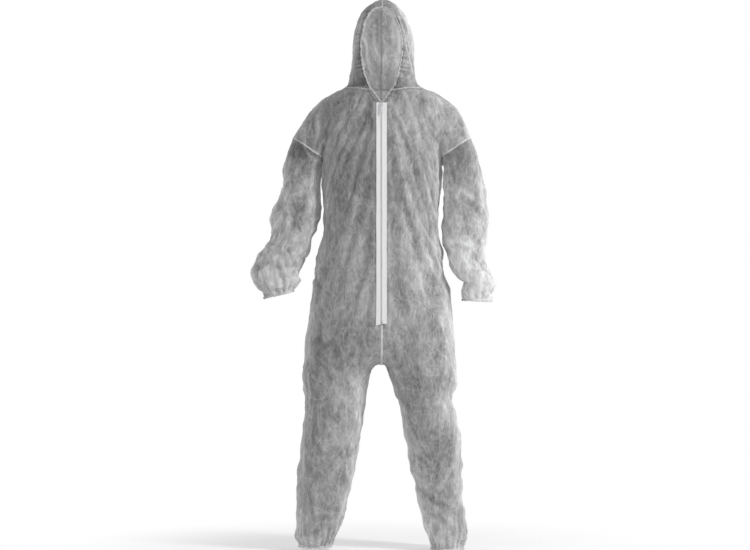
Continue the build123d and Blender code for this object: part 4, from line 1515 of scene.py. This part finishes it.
def stops(name, cells, node):
    """Small rounded blocks. cells: across from and to, out from and to, along from and to."""
    size = 12
    points, faces = [], []
    for left, right, back, front, top, bottom in cells:
        levels = (top, top * 0.8 + bottom * 0.2, top * 0.2 + bottom * 0.8, bottom)
        faces += ring_quads(len(levels), size, len(points))
        faces += end_caps(len(levels), size, len(points))
        for along in levels:
            share = 0.8 if along in (top, bottom) else 1.0
            for i in range(size):
                turn = 2 * math.pi * i / size
                cosine, sine = math.cos(turn), math.sin(turn)
                square = (abs(cosine) ** 4 + abs(sine) ** 4) ** 0.25
                points.append(zip_point(
                    (left + right) / 2 + (right - left) / 2 * cosine / square * share,
                    (back + front) / 2 + (front - back) / 2 * sine / square * share, along))
    finish_piece(solid(name, points, faces), METAL, TORSO_MOVE, "zip_metal", node)


for make in (tape, coil):
    make("left", 1)
    make("right", -1)
stitches()
stops("zip_stops_top",
      [(1.2, 3.6, 0.2, 2.3, -0.2, -2.4), (-3.6, -1.2, 0.2, 2.3, -0.2, -2.4)], "zip_top_stops")
stops("zip_stop_bottom", [(-3.4, 3.4, 0.2, 2.4, ZIP_END - 1.0, ZIP_END - 6.0)],
      "zip_bottom_stop")

# the slider and its pull tab keep their CAD shape
for node in ("zip_slider", "zip_pull_tab"):
    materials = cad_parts[node].data.materials
    materials.clear()
    materials.append(METAL)


# ---------------------------------------------------------------- floor, light, camera
def floor_material():
    """Matt white that, to the camera, turns to pure white away from the middle."""
    material = bpy.data.materials.new("studio_floor")
    nodes = Nodes(material)
    matt = nodes.output_of("BsdfPrincipled", 0, {
        "Base Color": (0.93, 0.93, 0.93, 1), "Roughness": 0.9, "Specular IOR Level": 0.0})
    glow = nodes.output_of("Emission", 0, {0: (1, 1, 1, 1)})
    place = nodes.output_of("NewGeometry", "Position")
    distance = nodes.output_of("VectorMath", "Value", {0: place}, operation="LENGTH")
    fade = nodes.ramp(distance, start=0.35, end=1.1, at_start=0.35, at_end=1.0)
    share = nodes.mul(fade, nodes.output_of("LightPath", "Is Camera Ray"))
    nodes.node("OutputMaterial", {0: nodes.mix_shader(share, matt, glow)})
    return material


def studio_floor(radius=9.0, z=-0.0045, rings=10, size=96):
    points = [(0, 0, z)]
    for i in range(1, rings + 1):
        for j in range(size):
            turn = 2 * math.pi * j / size
            reach = radius * i / rings
            points.append((reach * math.cos(turn), reach * math.sin(turn), z))
    faces = [(0, 1 + j, 1 + (j + 1) % size) for j in range(size)]
    # quads turned over so that they face up
    faces += [quad[:1] + quad[:0:-1] for quad in ring_quads(rings, size, 1)]
    floor = link("studio_floor", new_mesh("studio_floor", points, faces))
    floor.data.materials.append(floor_material())


def studio_world():
    """White to the camera, dimmer as light on the cloth."""
    world = bpy.data.worlds.new("studio")
    scene.world = world
    nodes = Nodes(world)
    seen, felt = (nodes.output_of("Background", 0, {0: (1, 1, 1, 1), 1: strength})
                  for strength in (1.0, 0.34))
    camera_ray = nodes.output_of("LightPath", "Is Camera Ray")
    nodes.node("OutputWorld", {0: nodes.mix_shader(camera_ray, felt, seen)})


def lamp(name, place, aim, size, watts):
    light = bpy.data.lights.new(name, "AREA")
    configure(light, shape="DISK", size=size, energy=watts)
    obj = link(name, light)
    obj.location = place
    obj.rotation_euler = (Vector(aim) - Vector(place)).to_track_quat("-Z", "Y").to_euler()
    obj.visible_camera = False


studio_floor()
studio_world()
# name, place, aim, diameter, watts
LAMPS = (
    ("key", (2.9, -1.9, 3.0), (0, 0, 0.95), 0.8, 106),
    ("fill", (-3.0, -2.8, 1.4), (0, 0, 0.9), 1.6, 20),
    ("hood_inside", (0.0, -4.2, 2.2), (0, 0.05, 1.55), 1.2, 9),
    ("rim_left", (-2.4, 1.6, 1.9), (0, 0, 0.9), 1.2, 24),
    ("rim_right", (2.6, 1.8, 1.6), (0, 0, 0.9), 1.2, 30),
)
for settings in LAMPS:
    lamp(*settings)

lens = bpy.data.cameras.new("photo_view")
configure(lens, sensor_width=36, lens=121)
camera = link("photo_view", lens)
camera.location = (-0.0206, -8.0, 0.8668)
camera.rotation_euler = (math.pi / 2, 0, 0)
scene.camera = camera
scene.view_settings.view_transform = "Standard"
scene.view_settings.look = "None"

bpy.context.view_layer.update()
